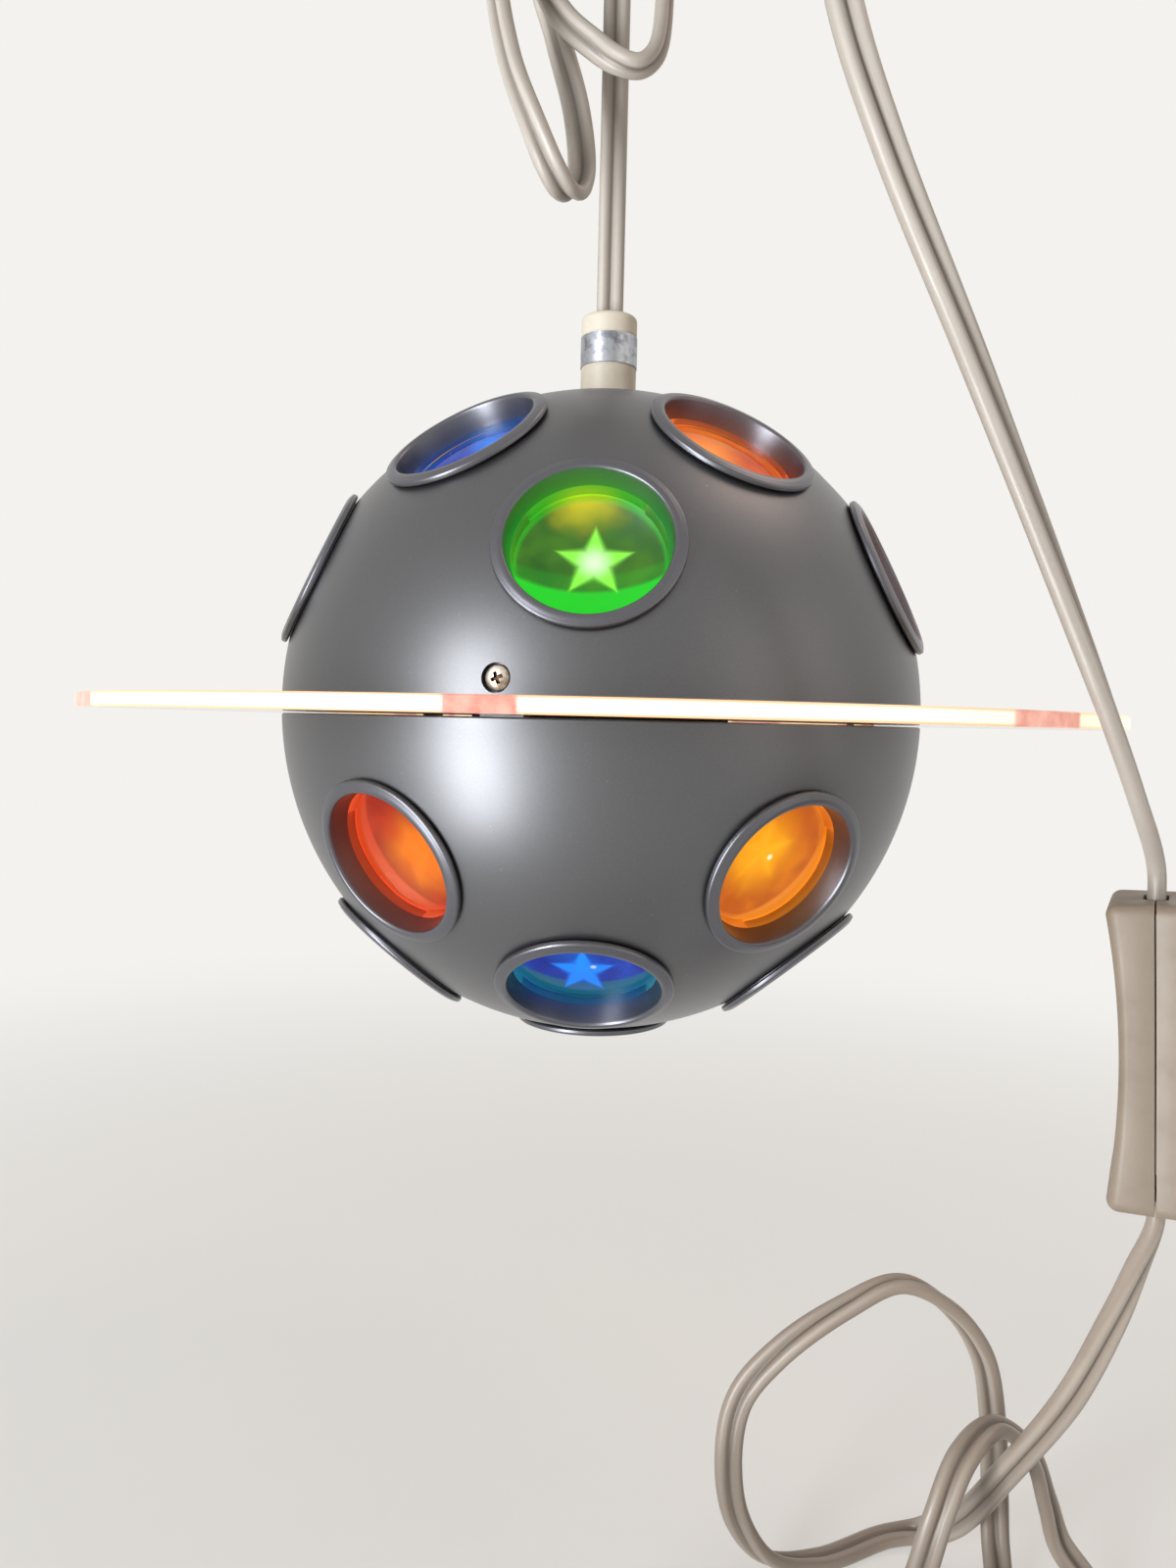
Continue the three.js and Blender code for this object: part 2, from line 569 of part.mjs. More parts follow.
const loopLength = 2 * Math.PI * coilRadius;
const leadInTurns = cordWidth / loopLength;
const leadTurns = leadLength / loopLength;
const coilTurnAt = (t) => t * (coilTurns + leadInTurns + leadTurns) - leadInTurns;
const leadTurned = (turn) => smooth((turn - coilTurns) / leadTurns, ...leadTurnShares);
function coilPlaceAt(t) {
  const turn = coilTurnAt(t);
  if (turn < 0) return coilStart.clone().setX(coilStart.x - turn * loopLength);
  if (turn <= coilTurns) return coilLoops(turn);
  const place = coilEnd.clone().addScaledVector(leadAway, (turn - coilTurns) * loopLength);
  return place.setZ(coilEnd.z + (plugLevel - coilEnd.z) * leadTurned(turn));
}
const coilWidthAt = (t) =>
  upright.clone().applyAxisAngle(leadAway, (leadTurned(coilTurnAt(t)) * Math.PI) / 2);
const coil = new FlatCordCurve(coilPlaceAt, coilWidthAt);
const coilSteps = Math.round((coilTurns + leadTurns) * coilStepsPerLoop) + 1;
add(group, 'cord_coil', cordTube(coil, coilFlatShares, coilSteps), cordPlastic);

// The least distance of the coil to itself, on points of its surface that are over half a loop apart
function leastSelfGap(curve, shares, steps, stepsApart) {
  const centres = curve.getSpacedPoints(steps);
  const { normals, binormals } = curve.computeFrenetFrames(steps);
  const corners = flatSection(shares).getPoints();
  const rings = centres.map((centre, i) => corners.map(({ x, y }) =>
    centre.clone().addScaledVector(normals[i], x).addScaledVector(binormals[i], y)));
  const points = rings.slice(1).flatMap((ring, i) => ring.flatMap((corner, k) => {
    const beside = ring[(k + 1) % ring.length];
    const edge = [0, 0.25, 0.5, 0.75].map((share) => rings[i][k].clone().lerp(corner, share));
    const face = rings[i][(k + 1) % ring.length].clone().add(beside).add(rings[i][k]).add(corner).divideScalar(4);
    return [...edge, face].map((point) => ({ point, step: i }));
  }));
  return Math.min(...points.map(({ point, step }) => points.reduce((least, other) =>
    (other.step - step > stepsApart ? Math.min(least, point.distanceToSquared(other.point)) : least), Infinity)));
}
const coilGap = Math.sqrt(leastSelfGap(coil, coilFlatShares, coilSteps, coilStepsPerLoop / 2));
console.log(`cord_coil: least gap to itself ${coilGap.toFixed(2)} mm`);

// Inline switch: two hollow halves that meet at the seam, with a rocker in the front one
const switchGroup = new THREE.Group();
switchGroup.position.set(...switchPlace);
switchGroup.rotation.set(0, degrees(switchTilt), degrees(switchTurn), 'ZYX');
group.add(switchGroup);

// A side outline, X through the case's depth and Y along it, made as wide as asked
function caseBlock(outline, width, edge) {
  const bevel = edge
    ? { bevelEnabled: true, bevelThickness: edge, bevelSize: edge, bevelOffset: -edge, bevelSegments: 1 }
    : { bevelEnabled: false };
  return new THREE.ExtrudeGeometry(outline, { depth: width - 2 * edge, curveSegments: caseCurveSteps, ...bevel })
    .translate(0, 0, edge - width / 2)
    .rotateX(Math.PI / 2);
}

const seamFace = caseSeam / 2;
const halfLength = caseLength / 2;
function caseOutline(side, waist) {
  const face = side * caseHalfDepth;
  const corner = side * caseCorner;
  const outline = new THREE.Shape();
  outline.moveTo(side * seamFace, -halfLength);
  outline.lineTo(face - corner, -halfLength);
  outline.quadraticCurveTo(face, -halfLength, face, -halfLength + caseCorner);
  outline.quadraticCurveTo(face - 2 * side * waist, 0, face, halfLength - caseCorner);
  outline.quadraticCurveTo(face, halfLength, face - corner, halfLength);
  outline.lineTo(side * seamFace, halfLength);
  return outline;
}

const cavityDepth = caseHalfDepth - caseWaist - caseWall;
const caseCavity = (side) =>
  box(2 * cavityDepth, caseWidth - 2 * caseWall - 2 * caseEdge, caseLength - 4 * caseWall)
    .translate(side * seamFace, 0, 0);
const cordSlot = (end) =>
  box(cordThickness + 2 * cordGap, cordWidth + 2 * cordGap, 2 * (2 * caseWall + overrun))
    .translate(0, 0, end * halfLength);
const caseCuts = [cordSlot(1), cordSlot(-1)];

const backBlock = caseBlock(caseOutline(-1, caseWaist), caseWidth, caseEdge);
const backHalf = cut(solidOf(backBlock), caseCavity(-1), ...caseCuts);
add(switchGroup, 'switch_case_back', geometryOf(backHalf), casePlastic);

const rockerPivot = caseHalfDepth - rockerPivotDepth;
const pinHole = new THREE.CylinderGeometry(rockerPinRadius + fitGap, rockerPinRadius + fitGap,
  windowWidth + 4 * cheekThickness, screwSides).translate(rockerPivot, 0, 0);
const cheeks = [-1, 1].map((side) =>
  box(caseHalfDepth - caseWall / 2 - 2 * seamFace, cheekThickness, cheekHeight)
    .translate((caseHalfDepth - caseWall / 2) / 2 + seamFace, (side * (windowWidth + cheekThickness)) / 2, 0));
const rockerWindow = box(2 * (caseHalfDepth - cavityDepth) + overrun, windowWidth, windowLength)
  .translate(caseHalfDepth, 0, 0);
const frontBlock = caseBlock(caseOutline(1, 0), caseWidth, caseEdge);
const frontShell = cut(solidOf(frontBlock), caseCavity(1), ...caseCuts);
const frontHalf = cut(frontShell.add(solidOf(cheeks[0])).add(solidOf(cheeks[1])), rockerWindow, pinHole);
add(switchGroup, 'switch_case_front', geometryOf(frontHalf), casePlastic);

// Rocker, on a pin of its own between the cheeks
const tip = rockerPivotDepth + rockerProud;
const rockerOutline = new THREE.Shape([
  [-rockerPinRadius, -rockerPinRadius], [tip - rockerSkirt, -rockerLength / 2], [tip, -rockerLength / 2],
  [tip - rockerDish, 0], [tip, rockerLength / 2], [tip - rockerSkirt, rockerLength / 2],
  [-rockerPinRadius, rockerPinRadius],
].map(([x, y]) => new THREE.Vector2(x, y)));
const rockerPin = new THREE.CylinderGeometry(rockerPinRadius, rockerPinRadius,
  windowWidth + 2 * cheekThickness - 2 * fitGap, screwSides);
const rocker = joined(caseBlock(rockerOutline, windowWidth - 2 * fitGap, 0), rockerPin);
const placedRocker = add(switchGroup, 'switch_rocker', geometryOf(rocker), rockerPlastic);
placedRocker.position.x = rockerPivot;
placedRocker.rotation.y = degrees(rockerTilt);

// Plug, lying on its side of the surface at the end of the coil
const plugGroup = new THREE.Group();
plugGroup.position.copy(coilPlaceAt(1)).addScaledVector(leadAway, fitGap);
plugGroup.rotation.z = coilEndAngle + Math.PI / 2;
group.add(plugGroup);
const shoulder = plugNeckLength + plugBodyWidth * (1 - plugShoulderShare) / 2;
const plugEnd = plugNeckLength + plugBodyLength;
const plugOutline = new THREE.Shape([
  [plugNeckLength, -(plugShoulderShare * plugBodyWidth) / 2], [shoulder, -plugBodyWidth / 2],
  [plugEnd, -plugBodyWidth / 2], [plugEnd, plugBodyWidth / 2], [shoulder, plugBodyWidth / 2],
  [plugNeckLength, (plugShoulderShare * plugBodyWidth) / 2],
].map(([x, y]) => new THREE.Vector2(x, y)));
const plugBody = new THREE.ExtrudeGeometry(plugOutline, {
  depth: plugBodyHeight - 2 * plugEdge, bevelEnabled: true, bevelThickness: plugEdge, bevelSize: plugEdge,
  bevelOffset: -plugEdge, bevelSegments: 1,
}).translate(0, 0, plugEdge - plugBodyHeight / 2);
const neckEnd = plugNeckLength + plugEdge;
const plugNeck = new THREE.CylinderGeometry(plugNeckRadius, plugNeckTipRadius, neckEnd, screwSides)
  .rotateZ(-Math.PI / 2)
  .translate(neckEnd / 2, 0, 0);
const blade = (side) =>
  box(bladeLength + plugEdge, bladeThickness, bladeWidth)
    .translate(plugEnd + (bladeLength - plugEdge) / 2, (side * bladeSpacing) / 2, 0);
add(plugGroup, 'plug', geometryOf(joined(plugBody, plugNeck, blade(-1), blade(1))), plugPlastic);

export default group;
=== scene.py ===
# %% [markdown]
# # A star lamp on its cord
# The real lamp is a painted ball of 160 mm that hangs on its own flat twin cord. Coloured lenses sit in round windows,
# and a clear ring is clamped round the middle and lit from inside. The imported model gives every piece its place, so
# this script first loads it as a frame, and then makes each visible surface fine.

# %% Load the frame
import math

import bmesh
import bpy
from mathutils import Matrix, Vector


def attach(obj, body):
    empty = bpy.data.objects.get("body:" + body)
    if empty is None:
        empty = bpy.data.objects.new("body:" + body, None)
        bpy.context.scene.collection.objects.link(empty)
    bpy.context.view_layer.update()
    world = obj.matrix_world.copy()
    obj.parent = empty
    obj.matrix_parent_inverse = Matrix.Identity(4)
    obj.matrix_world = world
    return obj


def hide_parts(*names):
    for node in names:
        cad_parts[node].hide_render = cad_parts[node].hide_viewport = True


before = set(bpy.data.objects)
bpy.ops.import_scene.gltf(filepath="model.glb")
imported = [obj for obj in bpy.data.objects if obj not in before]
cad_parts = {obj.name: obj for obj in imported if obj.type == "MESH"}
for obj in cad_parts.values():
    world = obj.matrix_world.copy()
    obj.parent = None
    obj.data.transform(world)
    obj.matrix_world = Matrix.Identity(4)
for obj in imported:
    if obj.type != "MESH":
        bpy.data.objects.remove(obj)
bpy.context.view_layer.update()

# %% [markdown]
# Blender works in metres and the lamp was drawn in millimetres, so one factor turns every size. The origin is where
# the cord leaves what the lamp hangs from, and the middle of the ball is straight below it.

# %% Units and main places
MM = 0.001
BALL_CENTRE = Vector((0, 0, -186)) * MM
BALL_PLACE = Matrix.Translation(BALL_CENTRE)
BALL_RADIUS = 80 * MM
TABLE_LEVEL = -396 * MM
SCENE = bpy.context.scene
SCENE.view_settings.view_transform = "Standard"
print("ball at", tuple(round(v, 4) for v in BALL_CENTRE), "of radius", BALL_RADIUS)


def mm(*values):
    """A point given in millimetres, in metres."""
    return Vector(values) * MM


# %% [markdown]
# The camera stands where the photograph was taken: level with the ball, a little to its right, tipped down by three
# degrees and rolled by one. A phone's wide lens is used close up, so the nearest parts look large. The direction is
# written as two angles and turned into a matrix, which is easier to adjust than a target point.

# %% Camera
CAMERA_PLACE = mm(13.17, -305.39, -188.62)
CAMERA_YAW, CAMERA_PITCH, CAMERA_ROLL = (math.radians(a) for a in (-2.99, -2.956, 1.333))
LENS, SENSOR = 27, 36

forward = Vector((
    math.sin(CAMERA_YAW) * math.cos(CAMERA_PITCH),
    math.cos(CAMERA_YAW) * math.cos(CAMERA_PITCH),
    math.sin(CAMERA_PITCH),
))
level_right = Vector((math.cos(CAMERA_YAW), -math.sin(CAMERA_YAW), 0))
level_up = level_right.cross(forward)
right = math.cos(CAMERA_ROLL) * level_right + math.sin(CAMERA_ROLL) * level_up
up = math.cos(CAMERA_ROLL) * level_up - math.sin(CAMERA_ROLL) * level_right
camera_data = bpy.data.cameras.new("camera")
camera_data.lens, camera_data.sensor_width = LENS, SENSOR
camera_data.clip_start, camera_data.clip_end = 0.005, 20
camera = bpy.data.objects.new("camera", camera_data)
SCENE.collection.objects.link(camera)
turn = Matrix((right, up, -forward)).transposed().to_4x4()
camera.matrix_world = Matrix.Translation(CAMERA_PLACE) @ turn
SCENE.camera = camera
print("camera looks along", tuple(round(v, 3) for v in forward))

# %% [markdown]
# Every finish is a small node tree that feeds a Principled BSDF. These helpers keep the trees short: one adds a node,
# and the others put a sum, a mix or a pattern between nodes.

# %% Helpers for node trees
def add_node(tree, kind, inputs=None, **settings):
    """A new node with its settings, and its sockets set or linked."""
    node = tree.nodes.new(kind)
    for key, value in settings.items():
        setattr(node, key, value)
    for key, value in (inputs or {}).items():
        plug_in(tree, node.inputs[key], value)
    return node


def plug_in(tree, socket, value):
    """Links an output to the socket, or writes a plain value on it."""
    if isinstance(value, bpy.types.NodeSocket):
        tree.links.new(value, socket)
    else:
        socket.default_value = value


def maths(tree, operation, *values, clamp=False):
    """The output of a math node."""
    node = add_node(tree, "ShaderNodeMath", dict(enumerate(values)), operation=operation, use_clamp=clamp)
    return node.outputs[0]


def vector_maths(tree, operation, first, second=None):
    """The vector and the value of a vector math node."""
    node = add_node(tree, "ShaderNodeVectorMath", {0: first}, operation=operation)
    if second is not None:
        plug_in(tree, node.inputs[1], second)
    return node.outputs[0], node.outputs[1]


def apart(tree, first, second):
    """How far apart two places are."""
    return vector_maths(tree, "LENGTH", vector_maths(tree, "SUBTRACT", first, second)[0])[1]


def mixed(tree, factor, first, second):
    """A colour mix."""
    node = add_node(tree, "ShaderNodeMix", data_type="RGBA")
    plug_in(tree, node.inputs["Factor"], factor)
    plug_in(tree, node.inputs[6], first)
    plug_in(tree, node.inputs[7], second)
    return node.outputs[2]


def remapped(tree, value, low, high, to_low=0.0, to_high=1.0, smooth=False):
    """A value taken from one range to another."""
    node = add_node(tree, "ShaderNodeMapRange", interpolation_type="SMOOTHSTEP" if smooth else "LINEAR")
    for index, entry in enumerate((value, low, high, to_low, to_high)):
        plug_in(tree, node.inputs[index], entry)
    return node.outputs[0]


def noise(tree, vector, scale, detail=2.0, roughness=0.5):
    """The value of a noise texture, about 0.5."""
    inputs = {"Vector": vector, "Scale": scale, "Detail": detail, "Roughness": roughness}
    return add_node(tree, "ShaderNodeTexNoise", inputs).outputs[0]


def object_place(tree):
    """Where a point of the surface is, in the object's own frame."""
    return add_node(tree, "ShaderNodeTexCoord").outputs["Object"]


def seen_directly(tree):
    """1 for what the camera sees, also in gloss and through clear parts, and 0 for light that falls on the lamp."""
    rays = add_node(tree, "ShaderNodeLightPath").outputs
    seen = maths(tree, "MAXIMUM", rays["Is Camera Ray"], rays["Is Transmission Ray"])
    return maths(tree, "MAXIMUM", seen, rays["Is Glossy Ray"], clamp=True)


def rgb(hexadecimal):
    """A colour as it is seen, written in linear light."""
    parts = [int(hexadecimal[i:i + 2], 16) / 255 for i in (0, 2, 4)]
    return tuple(p / 12.92 if p <= 0.04045 else ((p + 0.055) / 1.055) ** 2.4 for p in parts) + (1.0,)


# %% [markdown]
# A finish that several materials share is a node group. It gives a colour, a roughness and a height, and each material
# places it with its own shades and joins the three to its shader.

# %% Helpers for materials and groups
FINISH_OUTPUTS = [("Color", "Color"), ("Roughness", "Float"), ("Height", "Float")]


def new_group(name, inputs, outputs):
    """A shader node group: inputs are (name, kind, default), outputs are (name, kind)."""
    group = bpy.data.node_groups.new(name, "ShaderNodeTree")
    for label, kind, default in inputs:
        socket = group.interface.new_socket(name=label, in_out="INPUT", socket_type="NodeSocket" + kind)
        socket.default_value = default
    for label, kind in outputs:
        group.interface.new_socket(name=label, in_out="OUTPUT", socket_type="NodeSocket" + kind)
    return group, group.nodes.new("NodeGroupInput").outputs, group.nodes.new("NodeGroupOutput").inputs


def new_finish(name, **plain):
    """A material with its Principled BSDF, and plain values on the shader's own sockets."""
    material = bpy.data.materials.new(name)
    material.use_nodes = True
    shader = material.node_tree.nodes["Principled BSDF"]
    for key, value in plain.items():
        shader.inputs[key.replace("_", " ").title().replace("Ior", "IOR")].default_value = value
    return material, material.node_tree, shader


def use_group(tree, group, **inputs):
    """The group placed in a material, with its own values."""
    node = add_node(tree, "ShaderNodeGroup", node_tree=group)
    for key, value in inputs.items():
        plug_in(tree, node.inputs[key.replace("_", " ").title()], value)
    return node.outputs


def dented(tree, shader, height, distance, strength=1.0):
    """Height as bump on the shader."""
    bump = add_node(tree, "ShaderNodeBump", {"Height": height, "Distance": distance, "Strength": strength})
    tree.links.new(bump.outputs[0], shader.inputs["Normal"])


def surfaced(tree, shader, out, distance, strength):
    """The three outputs of a finish group go into the shader."""
    tree.links.new(out["Color"], shader.inputs["Base Color"])
    tree.links.new(out["Roughness"], shader.inputs["Roughness"])
    dented(tree, shader, out["Height"], distance, strength)


# %% [markdown]
# The cord's plastic is one jacket over two conductors, slightly see-through. A paler stripe along each conductor is a
# painted highlight, and the groove between them is painted darker as shade. The pattern follows the cord: its UV map
# runs along the length in metres, and round the section from 0 to 1. The groove and the stripes are then bands of the
# second coordinate.

# %% Finish of the cord
GROOVE_BAND, STRIPE_MIDDLE, STRIPE_BAND, HIGHLIGHT_STRIPE_SHARE = (0.36, 0.5), 0.24, (0.02, 0.13), 0.55
CLOUDS_ALONG, STREAKS_ALONG, STREAKS_AROUND = 26.0, 60.0, 40.0
jacket, j_in, j_out = new_group(
    "cord_jacket",
    [("Jacket", "Color", rgb("cdbfae")), ("Stripe", "Color", rgb("e6ddd0")), ("Groove", "Color", rgb("7d6c5c"))],
    FINISH_OUTPUTS,
)
uv = add_node(jacket, "ShaderNodeUVMap", uv_map="along").outputs[0]
along, around = add_node(jacket, "ShaderNodeSeparateXYZ", {0: uv}).outputs[:2]
half_turn = maths(jacket, "FRACT", maths(jacket, "MULTIPLY", around, 2.0))
from_groove = maths(jacket, "ABSOLUTE", maths(jacket, "SUBTRACT", half_turn, 0.5))
in_groove = remapped(jacket, from_groove, *GROOVE_BAND, smooth=True)
from_stripe = maths(jacket, "ABSOLUTE", maths(jacket, "SUBTRACT", from_groove, STRIPE_MIDDLE))
on_highlight_stripe = remapped(jacket, from_stripe, *STRIPE_BAND, 1.0, 0.0, smooth=True)
cloud_place = add_node(jacket, "ShaderNodeCombineXYZ", {0: maths(jacket, "MULTIPLY", along, CLOUDS_ALONG), 1: around})
clouds = noise(jacket, cloud_place.outputs[0], 1.0, 3.0)
streak_place = add_node(jacket, "ShaderNodeCombineXYZ", {
    0: maths(jacket, "MULTIPLY", along, STREAKS_ALONG), 1: maths(jacket, "MULTIPLY", around, STREAKS_AROUND)})
streaks = noise(jacket, streak_place.outputs[0], 1.0, 2.0)
# The paler stripe on each conductor is a painted highlight.
jacket_colour = mixed(jacket, maths(jacket, "MULTIPLY", on_highlight_stripe, HIGHLIGHT_STRIPE_SHARE), j_in["Jacket"], j_in["Stripe"])
# The groove between the conductors is painted darker as shade, broken up by the clouds.
groove_shade = maths(jacket, "MULTIPLY", in_groove, remapped(jacket, clouds, 0.3, 0.7, 0.55, 0.95))
jacket_colour = mixed(jacket, groove_shade, jacket_colour, j_in["Groove"])
jacket_colour = mixed(jacket, remapped(jacket, clouds, 0.35, 0.75, 0.0, 0.22), jacket_colour, j_in["Groove"])
jacket.links.new(jacket_colour, j_out["Color"])
jacket.links.new(remapped(jacket, streaks, 0.3, 0.7, 0.34, 0.5), j_out["Roughness"])
jacket.links.new(streaks, j_out["Height"])


def cord_finish(name, body, stripe, groove):
    """The jacket in one shade."""
    material, tree, shader = new_finish(name, subsurface_weight=0.12, subsurface_scale=0.004, coat_weight=0.15,
                                        coat_roughness=0.25)
    out = use_group(tree, jacket, jacket=rgb(body), stripe=rgb(stripe), groove=rgb(groove))
    surfaced(tree, shader, out, 0.08 * MM, 0.5)
    return material


CORD_UPPER = cord_finish("cord_plastic", "a0988e", "bfb9b0", "60564c")
# The tail and the coil take a darker copy of the same jacket, as painted shade.
CORD_SHADED = cord_finish("cord_plastic_shaded", "8e8275", "aca296", "53483e")
print("cord finishes:", CORD_UPPER.name, CORD_SHADED.name)

# %% [markdown]
# A flat twin cord is two round conductors joined by a web, so its section is a figure of eight. A curve with a bevel
# can't say which way a flat cord faces, so the tube is made from rings of points instead: each ring stands on the
# route, square to it, and its long side follows a direction that is given with each point of the route.

# %% Section and tube of the cord
CORD_WIDTH, CORD_THICKNESS = 6.8 * MM, 3.4 * MM
LOBE_STEPS = 13
LOBE_SWEEP = math.radians(152)


def twin_section():
    """The figure of eight as (across the width, across the thickness)."""
    radius = CORD_THICKNESS / 2
    angles = [LOBE_SWEEP * (2 * i / (LOBE_STEPS - 1) - 1) for i in range(LOBE_STEPS)]
    lobe = [(radius + radius * math.cos(a), radius * math.sin(a)) for a in angles]
    return lobe + [(-x, -y) for x, y in lobe]


SECTION = twin_section()


def cord_tube(name, centres, widths, material):
    """A closed tube with the twin section along the centres."""
    mesh = bpy.data.meshes.new(name)
    count, last = len(SECTION), len(centres) - 1
    vertices, faces, uvs = [], [], []
    run = [0.0]
    for before, after in zip(centres, centres[1:]):
        run.append(run[-1] + (after - before).length)
    for i, (centre, width) in enumerate(zip(centres, widths)):
        tangent = (centres[min(i + 1, last)] - centres[max(i - 1, 0)]).normalized()
        across = (width - width.dot(tangent) * tangent).normalized()
        through = tangent.cross(across)
        vertices += [centre + across * x + through * y for x, y in SECTION]
    for i in range(last):
        for k in range(count):
            after = (k + 1) % count
            faces.append((i * count + k, i * count + after, (i + 1) * count + after, (i + 1) * count + k))
            uvs += [(run[i], k / count), (run[i], (k + 1) / count), (run[i + 1], (k + 1) / count),
                    (run[i + 1], k / count)]
    for ring, flip in ((0, True), (last, False)):
        cap = [ring * count + k for k in range(count)]
        faces.append(tuple(reversed(cap)) if flip else tuple(cap))
        uvs += [(run[ring], 0.25)] * count
    mesh.from_pydata([tuple(v) for v in vertices], [], faces)
    layer = mesh.uv_layers.new(name="along")
    layer.data.foreach_set("uv", [value for pair in uvs for value in pair])
    mesh.polygons.foreach_set("use_smooth", [len(face) == 4 for face in faces])
    mesh.materials.append(material)
    mesh.validate()
    piece = bpy.data.objects.new(name, mesh)
    SCENE.collection.objects.link(piece)
    print(f"{name}: {run[-1] / MM:.0f} mm, {len(centres)} rings")
    return piece


# %% [markdown]
# The free cord's route was measured in the photograph and is written as points, each with the direction that the
# cord's width takes there. A centripetal Catmull-Rom curve goes through all the points without loops between close
# ones, which a uniform curve would make at the tight folds.

# %% Routes of the free cord
DROP_ROUTE = """
0,0,0.4 1,0,0 | 0,0,7 1,0,0 | -5,-4.5,17 0.7,-0.7,0 | -13.5,-11,17 0.4,-0.85,0.2 | -18.8,-13.8,7 0.4,-0.9,0 |
-18.6,-13.2,-7 0.5,-0.8,0.2 | -12.7,-14.8,-19 0.65,-0.6,0.45 | -4.8,-17.3,-27.2 0.55,-0.6,0.55 |
1.2,-18.8,-31.9 0.2,-0.85,0.45 | 6.3,-18.5,-33 -0.1,-0.95,0.2 | 10.2,-16.3,-28.8 -0.3,-0.95,0 |
11.9,-13.7,-17 -0.3,-0.95,0 | 10.8,-13.8,0 -0.3,-0.95,0 | 3,-17,17 -0.3,-0.95,0 | -9,-20.5,23 0.25,-0.95,0 |
-20.5,-23.8,18 0.35,-0.93,0 | -27.6,-25.7,3 0.55,-0.83,0 | -27,-26.8,-18 0.62,-0.78,0 |
-22.8,-29.5,-38 0.65,-0.75,0 | -17.2,-31,-52.5 0.8,-0.6,0.1 | -13.2,-30.6,-61.4 0.95,-0.3,0.2 |
-10.3,-26.8,-65 1,-0.1,0.1 | -8.1,-21.6,-63.6 1,0,0.1 | -6.8,-18,-57 1,0.1,0 | -8.3,-16,-43 0.95,-0.3,0 |
-14.4,-7.8,-19.6 0.8,-0.6,0 | -19.6,-1,1 0.75,-0.65,0 | -15.5,6,19 0.75,-0.65,0 | -3,8.5,30 0.5,-0.85,0 |
14,-1,34 0.6,-0.8,0 | 28.5,-25,28 0.85,-0.5,0 | 36.5,-53,10 0.97,-0.2,0 | 40.5,-77,-22 1,0,0 |
43.8,-90.5,-61.5 1,0.1,0 | 52.1,-92.5,-86.9 0.95,0.3,0.1 | 69.9,-89,-124.6 0.8,0.55,0.1 |
95.6,-86.3,-183.4 0.4,0.9,0 | 103.5,-82.5,-200 0.37,0.93,0 | 110.5,-75.8,-213.6 0.395,0.919,0 |
110.86,-75.85,-222.4 0.395,0.919,0
"""
TAIL_ROUTE = """
112.94,-76.75,-274.4 0.395,0.919,0 | 113.25,-76.6,-282 0.45,0.9,0 | 112,-72.5,-293 0.7,0.7,-0.1 |
110.5,-64.5,-309.6 0.92,0.35,-0.2 | 106.8,-52.8,-333 0.97,0,-0.25 | 98.7,-37,-360.7 0.93,0,-0.35 |
95.1,-24,-378.5 0.92,-0.2,-0.35 | 92.3,-15.5,-388 0.75,-0.6,-0.25 | 86.5,-10.6,-393 0.4,-0.9,-0.1 |
78,-11.6,-394.2 0.35,-0.93,0 | 60,-21.6,-394.2 0.42,-0.9,0 | 47,-25.6,-391.4 0.6,-0.75,0.3 |
39.4,-26.4,-382 0.9,-0.3,0.25 | 36.6,-26.5,-367 1,0,0 | 39,-25.8,-351.8 0.95,-0.15,-0.25 |
48.5,-24.8,-340 0.6,-0.6,-0.5 | 63.7,-23,-329.2 0.3,-0.9,-0.25 | 77.5,-21.5,-323.2 0,-1,0 |
89.5,-20.6,-329 0.35,-0.9,0.15 | 98,-19.8,-340.5 0.6,-0.75,0.25 | 101.9,-18.2,-358 0.75,-0.65,0 |
103.2,-17.6,-375 0.85,-0.5,0 | 102.8,-22,-388 0.97,-0.2,0 | 102.4,-31.5,-394 0.99,0.1,0 |
106,-41,-394.2 0.75,0.6,0 | 114.5,-45.8,-394.2 0,1,0 | 123,-42.3,-394.2 -0.75,0.65,0 |
125.4,-33.8,-393.6 -0.98,0,0 | 121.8,-27.8,-390 -0.9,-0.35,-0.1 | 116.7,-26,-383.5 -0.8,-0.6,-0.2 |
113.1,-26.5,-373 -0.6,-0.8,-0.2 | 108,-29,-359.7 -0.3,-0.9,-0.2 | 97.3,-35.5,-349.5 0.4,-0.9,0 |
88,-43.5,-352 0.8,-0.5,-0.3 | 81.5,-49.2,-362.5 0.93,-0.1,-0.35 | 77.8,-50.2,-375 0.95,-0.2,-0.2 |
73.4,-51.5,-387 0.7,-0.6,-0.4 | 62,-53.8,-393.8 0.1,-1,0 | 44.5,-55.5,-393.6 0,-0.9,0.4 |
27.1,-55.6,-392.6 0,0,1
"""
RINGS_BETWEEN_POINTS = 10


def read_route(text):
    """The points in metres, and the width directions."""
    rows = [[[float(v) for v in part.split(",")] for part in row.split()] for row in text.strip().split("|")]
    return [mm(*place) for place, _ in rows], [Vector(width).normalized() for _, width in rows]


